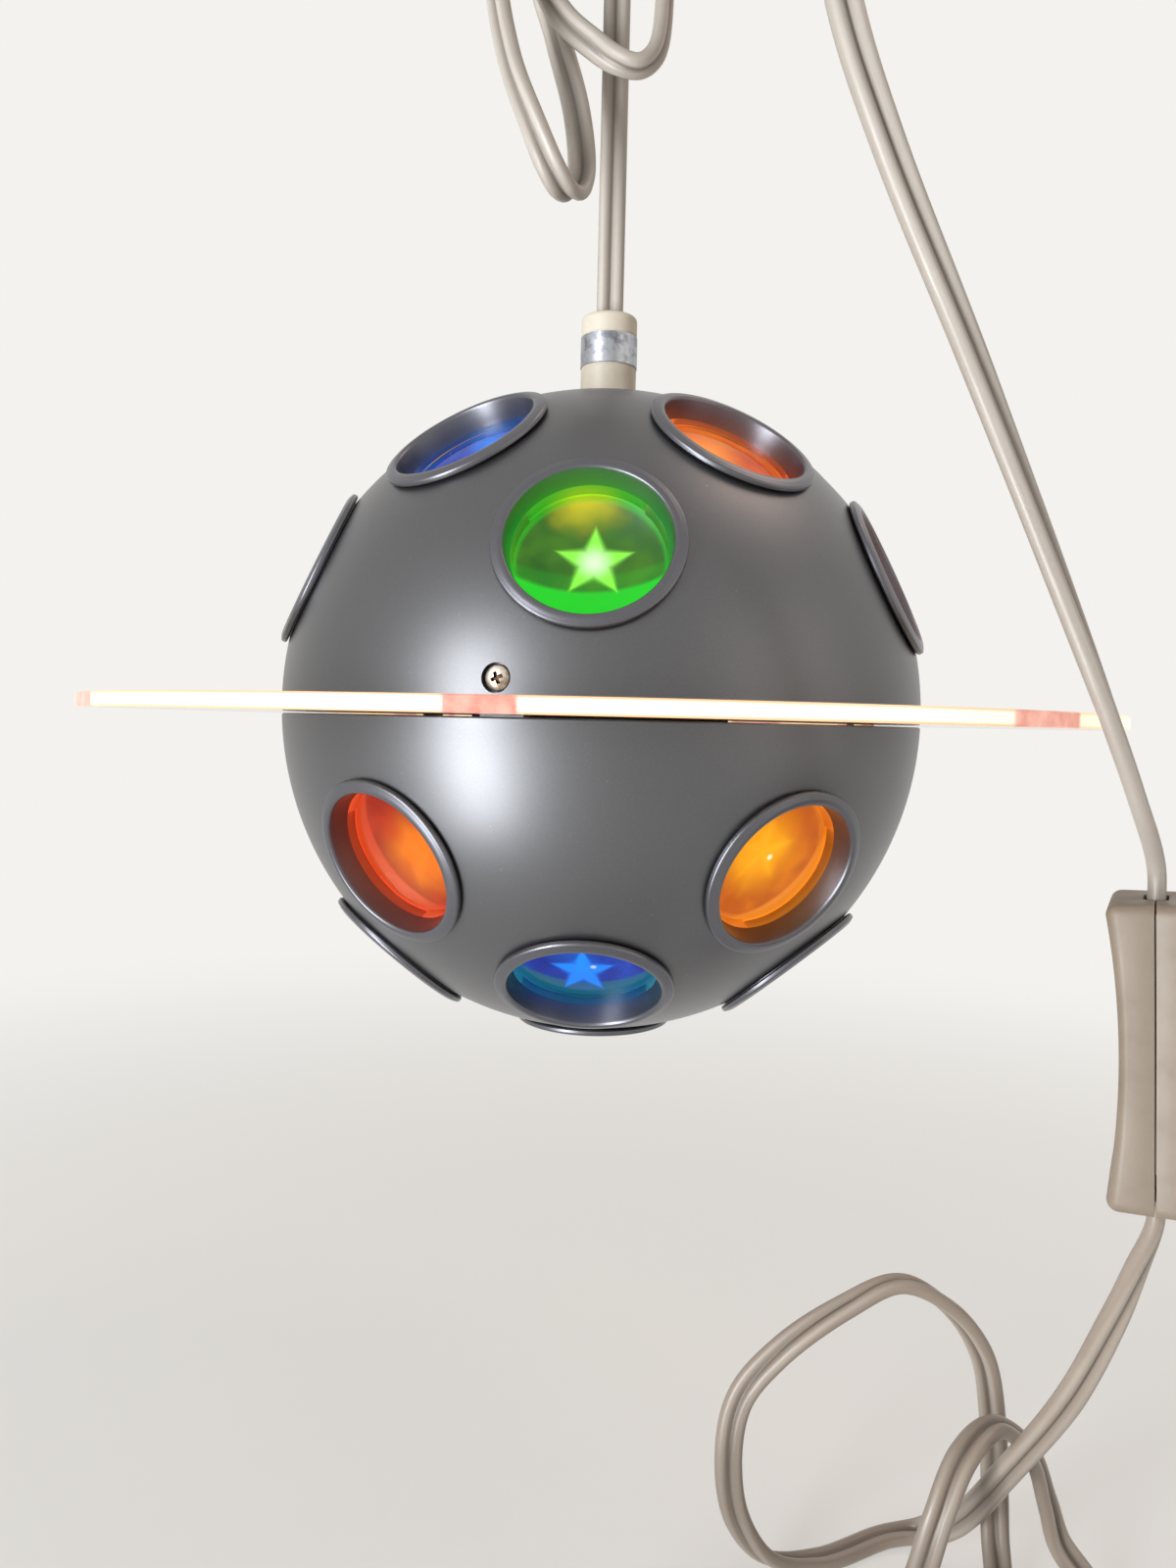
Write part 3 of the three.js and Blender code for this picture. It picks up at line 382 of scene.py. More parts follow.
def smooth_route(points, widths):
    """Points and widths along a centripetal Catmull-Rom curve."""
    ends = [2 * points[0] - points[1], *points, 2 * points[-1] - points[-2]]
    centres, directions = [], []
    for i in range(len(points) - 1):
        p0, p1, p2, p3 = ends[i:i + 4]
        d0, d1, d2 = ((b - a).length ** 0.5 for a, b in ((p0, p1), (p1, p2), (p2, p3)))
        leave = ((p1 - p0) / d0 - (p2 - p0) / (d0 + d1) + (p2 - p1) / d1) * d1
        arrive = ((p2 - p1) / d1 - (p3 - p1) / (d1 + d2) + (p3 - p2) / d2) * d1
        for k in range(RINGS_BETWEEN_POINTS):
            t = k / RINGS_BETWEEN_POINTS
            curve = ((2 * t**3 - 3 * t**2 + 1) * p1 + (t**3 - 2 * t**2 + t) * leave
                     + (3 * t**2 - 2 * t**3) * p2 + (t**3 - t**2) * arrive)
            centres.append(curve)
            directions.append(widths[i].lerp(widths[i + 1], t))
    return centres + [points[-1]], directions + [widths[-1]]


# %% Drop and tail
drop_centres, drop_widths = smooth_route(*read_route(DROP_ROUTE))
cord_drop = cord_tube("flat_cord_drop", drop_centres, drop_widths, CORD_UPPER)
tail_centres, tail_widths = smooth_route(*read_route(TAIL_ROUTE))
cord_tail = cord_tube("flat_cord_tail", tail_centres, tail_widths, CORD_SHADED)

# %% Strand from the hang point down into the grip
STRAND_TOP, STRAND_BOTTOM = -0.4 * MM, -91.4 * MM
STRAND_RINGS = 24
strand_centres = [
    Vector((0, 0, STRAND_TOP + (STRAND_BOTTOM - STRAND_TOP) * i / STRAND_RINGS)) for i in range(STRAND_RINGS + 1)
]
strand_widths = [Vector((1, 0, 0))] * len(strand_centres)
cord_strand = cord_tube("flat_cord_strand", strand_centres, strand_widths, CORD_UPPER)

# %% [markdown]
# The rest of the cord, up to the plug, lies wound on the surface in front. It stands on edge: it winds in on the lower
# layer, climbs, winds out on the upper one and leads straight to the plug, turning flat on the way. One formula gives
# every point, so the turns lie beside each other and never touch.

# %% Coil of the spare cord
COIL_PLACE = mm(20, -98, 0)
COIL_RADIUS, COIL_PITCH, COIL_LAYER_RISE = 42.4 * MM, 4.5 * MM, 7.7 * MM
TURNS_IN, TURNS_OUT, CLIMB_TURNS = 2.25, 2.25, 0.5
LEAD_IN, LEAD_LENGTH = CORD_WIDTH, 34 * MM
LEAD_TURN_SHARES = (0.3, 0.8)
PLUG_HEIGHT = 15 * MM
COIL_RINGS_A_TURN = 72
coil_turns = TURNS_IN + TURNS_OUT
coil_level = TABLE_LEVEL + CORD_WIDTH / 2
plug_level = TABLE_LEVEL + PLUG_HEIGHT / 2
loop_length = 2 * math.pi * COIL_RADIUS
coil_end_angle = math.pi / 2 + 2 * math.pi * coil_turns
lead_away = Vector((-math.sin(coil_end_angle), math.cos(coil_end_angle), 0))


def smooth_step(value, low, high):
    """From 0 at low to 1 at high, without a corner."""
    share = min(max((value - low) / (high - low), 0), 1)
    return share * share * (3 - 2 * share)


def coil_loop(turn):
    """The wound part, by the number of turns since its start."""
    angle = math.pi / 2 + 2 * math.pi * turn
    radius = COIL_RADIUS - COIL_PITCH * min(turn, 2 * TURNS_IN - turn)
    climb = smooth_step(turn, TURNS_IN - CLIMB_TURNS / 2, TURNS_IN + CLIMB_TURNS / 2)
    flat = Vector((math.cos(angle), math.sin(angle), 0)) * radius
    return COIL_PLACE + flat + Vector((0, 0, coil_level + COIL_LAYER_RISE * climb))


def coil_point(turn):
    """Lead-in, wound part and lead to the plug, with the width's direction."""
    turned_flat = smooth_step((turn - coil_turns) * loop_length / LEAD_LENGTH, *LEAD_TURN_SHARES)
    width = Matrix.Rotation(turned_flat * math.pi / 2, 3, lead_away) @ Vector((0, 0, 1))
    if turn < 0:
        return coil_loop(0) + Vector((-turn * loop_length, 0, 0)), width
    if turn <= coil_turns:
        return coil_loop(turn), width
    place = coil_loop(coil_turns) + lead_away * (turn - coil_turns) * loop_length
    place.z += (plug_level - place.z) * turned_flat
    return place, width


first_turn, last_turn = -LEAD_IN / loop_length, coil_turns + LEAD_LENGTH / loop_length
coil_rings = round((last_turn - first_turn) * COIL_RINGS_A_TURN)
coil_points = [coil_point(first_turn + (last_turn - first_turn) * i / coil_rings) for i in range(coil_rings + 1)]
cord_coil = cord_tube("flat_cord_coil", [place for place, _ in coil_points], [width for _, width in coil_points],
                      CORD_SHADED)

# %% [markdown]
# ## Tools for modelling by hand
# The pieces are modelled with Blender's own tools, as by hand. An operator acts on everything that is selected, so each
# piece starts with nothing selected. A modifier is applied at once, and the finished mesh holds its own place, with
# the object at the origin.

# %% Helpers for modelling
def focus(*pieces):
    """Only these are selected, and the first is active."""
    if bpy.context.object and bpy.context.object.mode != "OBJECT":
        bpy.ops.object.mode_set(mode="OBJECT")
    bpy.ops.object.select_all(action="DESELECT")
    for piece in pieces:
        piece.select_set(True)
    bpy.context.view_layer.objects.active = pieces[0]


def start(add, name, **where):
    """A new primitive on its own."""
    bpy.ops.object.select_all(action="DESELECT")
    add(**where)
    piece = bpy.context.object
    piece.name = piece.data.name = name
    return piece


def applied(piece, kind, **settings):
    """A modifier, applied."""
    focus(piece)
    modifier = piece.modifiers.new(kind, kind)
    for key, value in settings.items():
        setattr(modifier, key, value)
    bpy.ops.object.modifier_apply(modifier=modifier.name)


def rounded(piece, width, segments=2, degrees=50):
    """A small rounding on every edge that is sharper than that."""
    applied(piece, "BEVEL", width=width, segments=segments, limit_method="ANGLE", angle_limit=math.radians(degrees))


def settled(piece, place=None):
    """The object's place goes into its mesh, with one more place on top."""
    bpy.context.view_layer.update()
    piece.data.transform((place or Matrix()) @ piece.matrix_world)
    piece.matrix_world = Matrix()
    return piece


def smooth(piece, degrees=32):
    """Smooth faces that keep their real corners."""
    focus(piece)
    bpy.ops.object.shade_smooth_by_angle(angle=math.radians(degrees))
    return piece


# %% [markdown]
# Most pieces start as one of three shapes. A turned one is a profile that is spun round Z, as on a lathe. A block is a
# box of its real size, with its edges rounded or sharp. A drum is a round bar, used as a pin or to bore a hole.

# %% Helpers for turned shapes, blocks and drums
def turned(name, profile, steps, closed=True):
    """A profile of (radius, height) points, spun round Z."""
    piece = start(bpy.ops.mesh.primitive_plane_add, name, size=MM)
    bpy.ops.object.mode_set(mode="EDIT")
    bpy.ops.mesh.select_mode(type="VERT")
    bpy.ops.mesh.select_all(action="SELECT")
    bpy.ops.mesh.merge(type="CENTER")
    bpy.ops.transform.translate(value=(profile[0][0], 0, profile[0][1]))
    for (r, h), (next_r, next_h) in zip(profile, profile[1:]):
        bpy.ops.mesh.extrude_vertices_move(TRANSFORM_OT_translate={"value": (next_r - r, 0, next_h - h)})
    if closed:
        bpy.ops.mesh.extrude_vertices_move(TRANSFORM_OT_translate={
            "value": (profile[0][0] - profile[-1][0], 0, profile[0][1] - profile[-1][1])})
    bpy.ops.mesh.select_all(action="SELECT")
    bpy.ops.mesh.spin(steps=steps, angle=2 * math.pi, center=(0, 0, 0), axis=(0, 0, 1))
    bpy.ops.mesh.select_all(action="SELECT")
    bpy.ops.mesh.remove_doubles(threshold=1e-6)
    bpy.ops.mesh.dissolve_degenerate(threshold=1e-7)
    bpy.ops.mesh.select_all(action="SELECT")
    bpy.ops.mesh.normals_make_consistent(inside=False)
    bpy.ops.object.mode_set(mode="OBJECT")
    return piece


def arc(radius, start_angle, end_angle, steps, centre=(0, 0)):
    """Points of an arc, as (radius, height), from one angle to another."""
    angles = [start_angle + (end_angle - start_angle) * i / steps for i in range(steps + 1)]
    return [(centre[0] + radius * math.cos(a), centre[1] + radius * math.sin(a)) for a in angles]


def block(name, size, place=(0, 0, 0), bevel=0.0, segments=3):
    """A box of that size, with its edges rounded in edit mode."""
    piece = start(bpy.ops.mesh.primitive_cube_add, name, size=1, location=place)
    piece.scale = size
    settled(piece)
    if bevel:
        bpy.ops.object.mode_set(mode="EDIT")
        bpy.ops.mesh.select_all(action="SELECT")
        bpy.ops.mesh.bevel(offset=bevel, segments=segments, profile=0.5, affect="EDGES", clamp_overlap=True)
        bpy.ops.object.mode_set(mode="OBJECT")
    return piece


def drum(name, radius, depth, sides, place=None):
    """A round cutter or pin along Z, then put in place."""
    piece = start(bpy.ops.mesh.primitive_cylinder_add, name, radius=radius, depth=depth, vertices=sides)
    return settled(piece, place)


# %% [markdown]
# Cutters that belong together are joined first, so that one Boolean modifier does the work of many. A piece that
# repeats is modelled once and copied, each copy with its own mesh. At the end each piece is told which body it rides
# on and which nodes of the frame it stands for.

# %% Helpers for cutting, copying and attaching
def with_tools(piece, tools, operation="DIFFERENCE"):
    """The tools are made one mesh and cut from the piece, or joined to it."""
    focus(*tools)
    if len(tools) > 1:
        bpy.ops.object.join()
    tool = bpy.context.view_layer.objects.active
    applied(piece, "BOOLEAN", operation=operation, solver="EXACT", object=tool)
    bpy.data.objects.remove(tool)


def copied(piece, name, place):
    """A copy with its own mesh, put in its own place."""
    twin = piece.copy()
    twin.data = piece.data.copy()
    twin.name = twin.data.name = name
    SCENE.collection.objects.link(twin)
    twin.data.transform(place)
    return twin


def dressed(piece, *materials):
    """The piece's material slots."""
    piece.data.materials.clear()
    for material in materials:
        piece.data.materials.append(material)
    return piece


def dressed_copy(pattern, name, place, *materials):
    """A copy in its own place, with its own materials on the faces that the pattern marks."""
    twin = copied(pattern, name, place)
    indices = [face.material_index for face in twin.data.polygons]
    dressed(twin, *materials)
    twin.data.polygons.foreach_set("material_index", indices)
    return twin


def finished(piece, body, slot, *nodes):
    """Rides on its body and stands for its nodes; the slot argument is not used."""
    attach(piece, body)
    if nodes:
        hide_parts(*nodes)


def triangles(piece):
    """How many triangles a mesh has."""
    return sum(len(face.vertices) - 2 for face in piece.data.polygons)


def straight_out(latitude, longitude, distance):
    """Frame of a window or a screw: Z straight out of the ball, Y to its top."""
    lat, lon = math.radians(latitude), math.radians(longitude)
    east = Vector((math.cos(lon), math.sin(lon), 0))
    out = Vector((math.cos(lat) * math.sin(lon), -math.cos(lat) * math.cos(lon), math.sin(lat)))
    frame_axes = Matrix((east, out.cross(east), out)).transposed().to_4x4()
    return Matrix.Translation(BALL_CENTRE + out * distance) @ frame_axes


# %% [markdown]
# ## Painted ball
# The two halves are moulded plastic with a satin metallic paint: fine flakes under a thin clear coat, a little dust,
# and a broad soft highlight. The flakes are a very fine noise in colour and bump, small enough to read as satin and
# not as a pattern. One group makes this paint, and the ball and the bezels use it with their own shades.

# %% Paint group
FLAKES, PAINT_CLOUDS, SPECKS = 5200.0, 14.0, 900.0
DUST_BAND, DUST_ROUGHNESS = (0.72, 0.8), 0.3
paint, p_in, p_out = new_group(
    "flake_paint",
    [("Paint", "Color", rgb("6d6e72")), ("Flake", "Color", rgb("a9abb2")), ("Smooth", "Float", 0.32),
     ("Rough", "Float", 0.42), ("Dust", "Float", 0.5)],
    FINISH_OUTPUTS,
)
paint_place = object_place(paint)
flakes = noise(paint, paint_place, FLAKES, 1.0)
cloudy = noise(paint, paint_place, PAINT_CLOUDS, 3.0)
specks = noise(paint, paint_place, SPECKS, 2.0, 0.7)
paint_colour = mixed(paint, remapped(paint, flakes, 0.35, 0.75, 0.0, 0.3), p_in["Paint"], p_in["Flake"])
paint_colour = mixed(paint, remapped(paint, cloudy, 0.3, 0.75, 0.0, 0.25), paint_colour, p_in["Paint"])
dust = maths(paint, "MULTIPLY", remapped(paint, specks, *DUST_BAND, smooth=True), p_in["Dust"])
paint_colour = mixed(paint, dust, paint_colour, rgb("b8b2a8"))
paint_rough = remapped(paint, cloudy, 0.3, 0.7, p_in["Smooth"], p_in["Rough"])
paint_rough = maths(paint, "ADD", paint_rough, maths(paint, "MULTIPLY", dust, DUST_ROUGHNESS))
paint.links.new(paint_colour, p_out["Color"])
paint.links.new(paint_rough, p_out["Roughness"])
paint.links.new(flakes, p_out["Height"])


def paint_finish(name, shade, flake, smooth_value, rough_value, dust_value, metallic):
    """The metallic paint in one shade."""
    material, tree, shader = new_finish(name, metallic=metallic, coat_weight=0.12, coat_roughness=0.3)
    out = use_group(tree, paint, paint=rgb(shade), flake=rgb(flake), smooth=smooth_value, rough=rough_value,
                    dust=dust_value)
    surfaced(tree, shader, out, 0.01 * MM, 0.4)
    return material


BALL_PAINT = paint_finish("ball_paint", "606062", "787a7d", 0.37, 0.43, 0.3, 0.92)
BEZEL_PAINT = paint_finish("bezel_paint", "606065", "7c7d84", 0.33, 0.39, 0.2, 0.92)
print("paint finishes:", BALL_PAINT.name, BEZEL_PAINT.name)

# %% [markdown]
# Each half is a thin shell with a flat flange inside, which clamps the ring. It is turned from one closed profile: the
# outer arc, the small hole at its pole, the inner arc and the flange. The window holes and screw holes are then
# bored, so all their walls have the shell's real thickness.

# %% Sizes of the ball
SHELL_WALL, SEAM_HEIGHT, LEDGE = 2.5 * MM, 1.8 * MM, 2 * MM
RING_BORE, RING_RADIUS, RING_THICKNESS = 70 * MM, 125 * MM, 3 * MM
NECK_HOLE, WINDOW_HOLE, WINDOW_CUT = 5.3 * MM, 17.9 * MM, 11 * MM
SEAM_ROUNDING = 0.35 * MM
SHELL_STEPS, OUTER_ROWS, INNER_ROWS, WINDOW_SIDES, BORE_SIDES = 240, 60, 20, 72, 32
FIT_GAP, OVERCUT = 0.3 * MM, 3 * MM
WINDOW_ROWS = (("upper", 25, 0, 5), ("top", 50, 36, 5), ("lower", -25, 36, 5), ("bottom", -50, 0, 5),
               ("pole", -90, 0, 1))
WINDOWS = [(f"{row}_{i + 1}" if count > 1 else row, latitude, first + 360 * i / count)
           for row, latitude, first, count in WINDOW_ROWS for i in range(count)]
SCREW_COUNT, SCREW_TURN, SCREW_HEIGHT = 3, -12.4, 5.8 * MM
SCREW_HEAD, SCREW_HEAD_THICKNESS, SCREW_SINK, SCREW_SHANK = 2.7 * MM, 1.2 * MM, 0.4 * MM, 1.5 * MM
LUG_WIDTH, LUG_DEPTH, LUG_TOP, LUG_GAP = 9 * MM, 3.6 * MM, 10.5 * MM, 0.8 * MM
inner_radius = BALL_RADIUS - SHELL_WALL
ledge_height = SEAM_HEIGHT + LEDGE
lug_outer = math.sqrt(inner_radius ** 2 - LUG_TOP ** 2) - LUG_GAP
lug_inner = lug_outer - LUG_DEPTH
head_back = math.sqrt(BALL_RADIUS ** 2 - SCREW_HEIGHT ** 2) - SCREW_SINK - SCREW_HEAD_THICKNESS
screw_turns = [SCREW_TURN + 360 * i / SCREW_COUNT for i in range(SCREW_COUNT)]
lug_places = [BALL_PLACE @ Matrix.Rotation(math.radians(turn), 4, "Z") for turn in screw_turns]
print("windows:", len(WINDOWS), "screws:", len(screw_turns))


# %% Shell halves
def shell_profile(pole_radius):
    """Closed profile of the upper half, round its own pole hole."""
    outer = arc(BALL_RADIUS, math.asin((SEAM_HEIGHT + SEAM_ROUNDING) / BALL_RADIUS),
                math.acos(pole_radius / BALL_RADIUS), OUTER_ROWS)
    inner = arc(inner_radius, math.acos(pole_radius / inner_radius), math.asin(ledge_height / inner_radius), INNER_ROWS)
    seam_edge = math.sqrt(BALL_RADIUS ** 2 - SEAM_HEIGHT ** 2)
    return [*outer, *inner, (RING_BORE, ledge_height), (RING_BORE, SEAM_HEIGHT),
            (seam_edge - SEAM_ROUNDING, SEAM_HEIGHT)]


def lug_blocks(low_radius, high_radius, width, low, high):
    """A block at every lug, between two distances from the ball's axis and two heights."""
    size = (width, high_radius - low_radius, high - low)
    middle = (0, -(low_radius + high_radius) / 2, (low + high) / 2)
    return [settled(block("lug_block", size, middle), place) for place in lug_places]


def screw_bores(radius, low_radius, high_radius):
    """A round bore along every screw, between two distances from the ball's axis."""
    lying = Matrix.Rotation(math.pi / 2, 4, "X")
    lying.translation = Vector((0, -(low_radius + high_radius) / 2, SCREW_HEIGHT))
    return [drum("screw_bore", radius, high_radius - low_radius, BORE_SIDES, place @ lying) for place in lug_places]


def window_bores(keep):
    """Cutters for the windows whose latitude passes the test."""
    return [drum("window_bore", WINDOW_HOLE, WINDOW_CUT, WINDOW_SIDES, straight_out(latitude, longitude, inner_radius))
            for _, latitude, longitude in WINDOWS if keep(latitude)]


upper_half = settled(turned("ball_upper", shell_profile(NECK_HOLE), SHELL_STEPS), BALL_PLACE)
with_tools(upper_half, window_bores(lambda latitude: latitude > 0))
with_tools(upper_half, lug_blocks(RING_BORE - OVERCUT, inner_radius - FIT_GAP, LUG_WIDTH + 2 * FIT_GAP, 0, LUG_TOP))
with_tools(upper_half, screw_bores(SCREW_SHANK + FIT_GAP, RING_BORE, BALL_RADIUS + OVERCUT))
with_tools(upper_half, screw_bores(SCREW_HEAD + FIT_GAP, head_back - FIT_GAP, BALL_RADIUS + OVERCUT))
finished(dressed(smooth(upper_half), BALL_PAINT), "lamp", "shell_paint", "upper_shell")
print("ball_upper:", triangles(upper_half), "triangles")

lower_profile = [(r, -h) for r, h in shell_profile(WINDOW_HOLE)]
lower_half = settled(turned("ball_lower", lower_profile, SHELL_STEPS), BALL_PLACE)
with_tools(lower_half, window_bores(lambda latitude: -90 < latitude < 0))
with_tools(lower_half, lug_blocks(lug_inner, lug_outer, LUG_WIDTH, -ledge_height, LUG_TOP), "UNION")
with_tools(lower_half, screw_bores(SCREW_SHANK + FIT_GAP, lug_inner - OVERCUT, lug_outer + FIT_GAP))
finished(dressed(smooth(lower_half), BALL_PAINT), "lamp", "shell_paint", "lower_shell")
print("ball_lower:", triangles(lower_half), "triangles")

# %% [markdown]
# ## Clear ring
# The ring is a disc of clear acrylic that takes the bulb's light in at its bore and lets it out at its edge, as a light
# guide does. So its faces are glass-like, and its edge glows warm white. The lugs inside keep the light off a few
# stretches of the edge, which show as dimmer, rosy patches. Each patch is given by its turn round the ring and its half
# width, in degrees.

# %% Finishes of the ring
SCUFFS, EDGE_GRAIN = 160.0, 300.0
GLOW_PATCHES = ((-6.2, 3.0), (42.2, 5.4), (-57.0, 6.5), (78.0, 12.0), (115.0, 6.0), (150.0, 6.0), (-140.0, 8.0))
PATCH_CORE, EDGE_SKIN, FRONT_TURNS = 0.85, (0.7 * MM, 1.5 * MM), (5.0, 70.0)
clear_face, ring_tree, ring_shader = new_finish("clear_acrylic", transmission_weight=1.0, ior=1.49, roughness=0.04)
scuffs = noise(ring_tree, object_place(ring_tree), SCUFFS, 4.0, 0.65)
scuffed = mixed(ring_tree, remapped(ring_tree, scuffs, 0.3, 0.7), rgb("fff6ea"), rgb("f6e6d2"))
ring_tree.links.new(scuffed, ring_shader.inputs["Base Color"])
dented(ring_tree, ring_shader, scuffs, 0.03 * MM, 0.3)

glow_edge, edge_tree, edge_shader = new_finish("glowing_edge", roughness=0.25, emission_strength=1.0)
edge_place = object_place(edge_tree)
edge_x, edge_y, edge_z = add_node(edge_tree, "ShaderNodeSeparateXYZ", {0: edge_place}).outputs
edge_turn = maths(edge_tree, "ARCTAN2", edge_x, maths(edge_tree, "MULTIPLY", edge_y, -1.0))
edge_turn = maths(edge_tree, "MULTIPLY", edge_turn, 180 / math.pi)
in_patch = None
for patch_turn, patch_half in GLOW_PATCHES:
    away = maths(edge_tree, "ABSOLUTE", maths(edge_tree, "SUBTRACT", edge_turn, patch_turn))
    dark = remapped(edge_tree, away, patch_half * PATCH_CORE, patch_half, 1.0, 0.0, smooth=True)
    in_patch = dark if in_patch is None else maths(edge_tree, "MAXIMUM", in_patch, dark)
from_mid_plane = maths(edge_tree, "ABSOLUTE", maths(edge_tree, "SUBTRACT", edge_z, BALL_CENTRE.z))
at_skin = remapped(edge_tree, from_mid_plane, *EDGE_SKIN, smooth=True)
edge_grain = noise(edge_tree, edge_place, EDGE_GRAIN, 3.0)
from_front = remapped(edge_tree, maths(edge_tree, "ABSOLUTE", edge_turn), *FRONT_TURNS, smooth=True)
bright = mixed(edge_tree, from_front, rgb("fffbf0"), rgb("fff0c4"))
bright = mixed(edge_tree, at_skin, bright, rgb("ffc08c"))
dimmed = mixed(edge_tree, remapped(edge_tree, edge_grain, 0.35, 0.65), rgb("d58a78"), rgb("e8ad9a"))
edge_colour = mixed(edge_tree, in_patch, bright, dimmed)
edge_tree.links.new(mixed(edge_tree, 0.75, edge_colour, rgb("000000")), edge_shader.inputs["Base Color"])
edge_tree.links.new(edge_colour, edge_shader.inputs["Emission Color"])
print("ring finishes:", clear_face.name, glow_edge.name)

# %% Ring
RING_STEPS, EDGE_ROUNDING = 320, 0.25 * MM
half_ring = RING_THICKNESS / 2
ring_profile = [
    (RING_BORE, -half_ring), (RING_RADIUS - EDGE_ROUNDING, -half_ring), (RING_RADIUS, -half_ring + EDGE_ROUNDING),
    (RING_RADIUS, 0), (RING_RADIUS, half_ring - EDGE_ROUNDING), (RING_RADIUS - EDGE_ROUNDING, half_ring),
    (RING_BORE, half_ring),
]
light_ring = settled(turned("clear_ring", ring_profile, RING_STEPS), BALL_PLACE)
with_tools(light_ring, lug_blocks(RING_BORE - OVERCUT, lug_outer + FIT_GAP, LUG_WIDTH + 2 * FIT_GAP, -OVERCUT, OVERCUT))
dressed(smooth(light_ring), clear_face, glow_edge)
for face in light_ring.data.polygons:
    flat_centre = Vector((face.center.x, face.center.y, 0))
    face.material_index = int(flat_centre.length > RING_RADIUS - EDGE_ROUNDING)
finished(light_ring, "lamp", "clear_acrylic", "light_ring")
print("clear_ring:", triangles(light_ring), "triangles")

# %% [markdown]
# ## Bezels and lenses
# A bezel is a turned ring: a barrel in the shell's hole, and a flange that stands clear of the ball at its outer edge,
# where a thin dark gap shows. Its lip is rounded and its bore slopes in to the lens. One bezel is spun and copied into
# every window. The lens lights up the bore round it, so the bore's paint glows a little in the lens's colour, more so
# towards the lens.

# %% Colours of the windows and their lit walls
LENS_ORDER = {
    "upper": "green red amber blue orange", "top": "orange green red amber blue",
    "lower": "amber blue green orange red", "bottom": "blue amber red green orange", "pole": "amber",
}
WALL_LIGHT = {"lens_green": ("04a02c", 0.7), "lens_blue": ("0d4f9c", 0.06), "lens_orange": ("a8401c", 0.2),
              "lens_red": ("8a2410", 0.25), "lens_amber": ("8a4a0c", 0.18)}


def lens_kind(window):
    """Which lens sits in a window."""
    row, _, number = window.partition("_")
    return "lens_" + LENS_ORDER[row].split()[int(number or 1) - 1]


def wall_finish(kind, colour, strength):
    """The bezel's paint with the lens's light on it, stronger towards the lens."""
    material = BEZEL_PAINT.copy()
    material.name = kind + "_wall"
    tree = material.node_tree
    shader = tree.nodes["Principled BSDF"]
    uv_depth = add_node(tree, "ShaderNodeUVMap", uv_map="depth").outputs[0]
    depth = add_node(tree, "ShaderNodeSeparateXYZ", {0: uv_depth}).outputs[1]
    glow = remapped(tree, depth, -0.3, 1.0, 0.35 * strength, strength, smooth=True)
    tree.links.new(mixed(tree, glow, rgb("000000"), rgb(colour)), shader.inputs["Emission Color"])
    shader.inputs["Emission Strength"].default_value = 1.0
    return material


WALL_FINISHES = {kind: wall_finish(kind, *light) for kind, light in WALL_LIGHT.items()}
print("wall finishes:", ", ".join(WALL_FINISHES))

# %% Bezels
BEZEL_RADIUS, BEZEL_HEIGHT, BEZEL_BORE, BEZEL_DEPTH = 19.75 * MM, 1.9 * MM, 15.7 * MM, 6.6 * MM
FLANGE_ROUNDING, FLANGE_MIDDLE, FLANGE_STRETCH = 0.55 * MM, 0.75 * MM, 1.1
LIP_RADIUS, LIT_BELOW = 17.0 * MM, 1.4 * MM
BARREL = WINDOW_HOLE - FIT_GAP
BEZEL_STEPS = 96
seat_distance = math.sqrt(BALL_RADIUS ** 2 - WINDOW_HOLE ** 2) + FIT_GAP / 2
flange_edge = arc(FLANGE_ROUNDING, 0, math.pi / 2, 4, (BEZEL_RADIUS - FLANGE_ROUNDING, FLANGE_MIDDLE))
flange_edge = [(r, h * FLANGE_STRETCH) for r, h in flange_edge]
lip = [(18.7 * MM, 1.68 * MM), (18.1 * MM, 1.87 * MM), (17.6 * MM, BEZEL_HEIGHT), (17.25 * MM, 1.84 * MM),
       (LIP_RADIUS, 1.6 * MM), (16.86 * MM, 1.1 * MM)]
bezel_profile = [(BARREL, -BEZEL_DEPTH), (BARREL, 0), (BEZEL_RADIUS - 0.3 * MM, 0), (BEZEL_RADIUS, 0.3 * MM),
                 *flange_edge, *lip, (16.3 * MM, -2.6 * MM), (BEZEL_BORE + 0.25 * MM, -BEZEL_DEPTH + 0.8 * MM),
                 (BEZEL_BORE, -BEZEL_DEPTH + 0.25 * MM), (BEZEL_BORE + 0.2 * MM, -BEZEL_DEPTH)]
bezel_pattern = smooth(turned("bezel_pattern", bezel_profile, BEZEL_STEPS), 40)
depth_map = bezel_pattern.data.uv_layers.new(name="depth")
for loop in bezel_pattern.data.loops:
    corner = bezel_pattern.data.vertices[loop.vertex_index].co
    depth_map.data[loop.index].uv = (math.atan2(corner.y, corner.x) / (2 * math.pi), -corner.z / BEZEL_DEPTH)
for face in bezel_pattern.data.polygons:
    inward = face.normal.x * face.center.x + face.normal.y * face.center.y < 0
    face.material_index = int(inward and face.center.z < LIT_BELOW)
for name, latitude, longitude in WINDOWS:
    bezel = dressed_copy(bezel_pattern, "window_ring_" + name, straight_out(latitude, longitude, seat_distance),
                         BEZEL_PAINT, WALL_FINISHES[lens_kind(name)])
    finished(bezel, "lamp", "bezel_paint", "bezel_" + name)
print("bezels:", len(WINDOWS), "of", triangles(bezel_pattern), "triangles")
bpy.data.objects.remove(bezel_pattern)

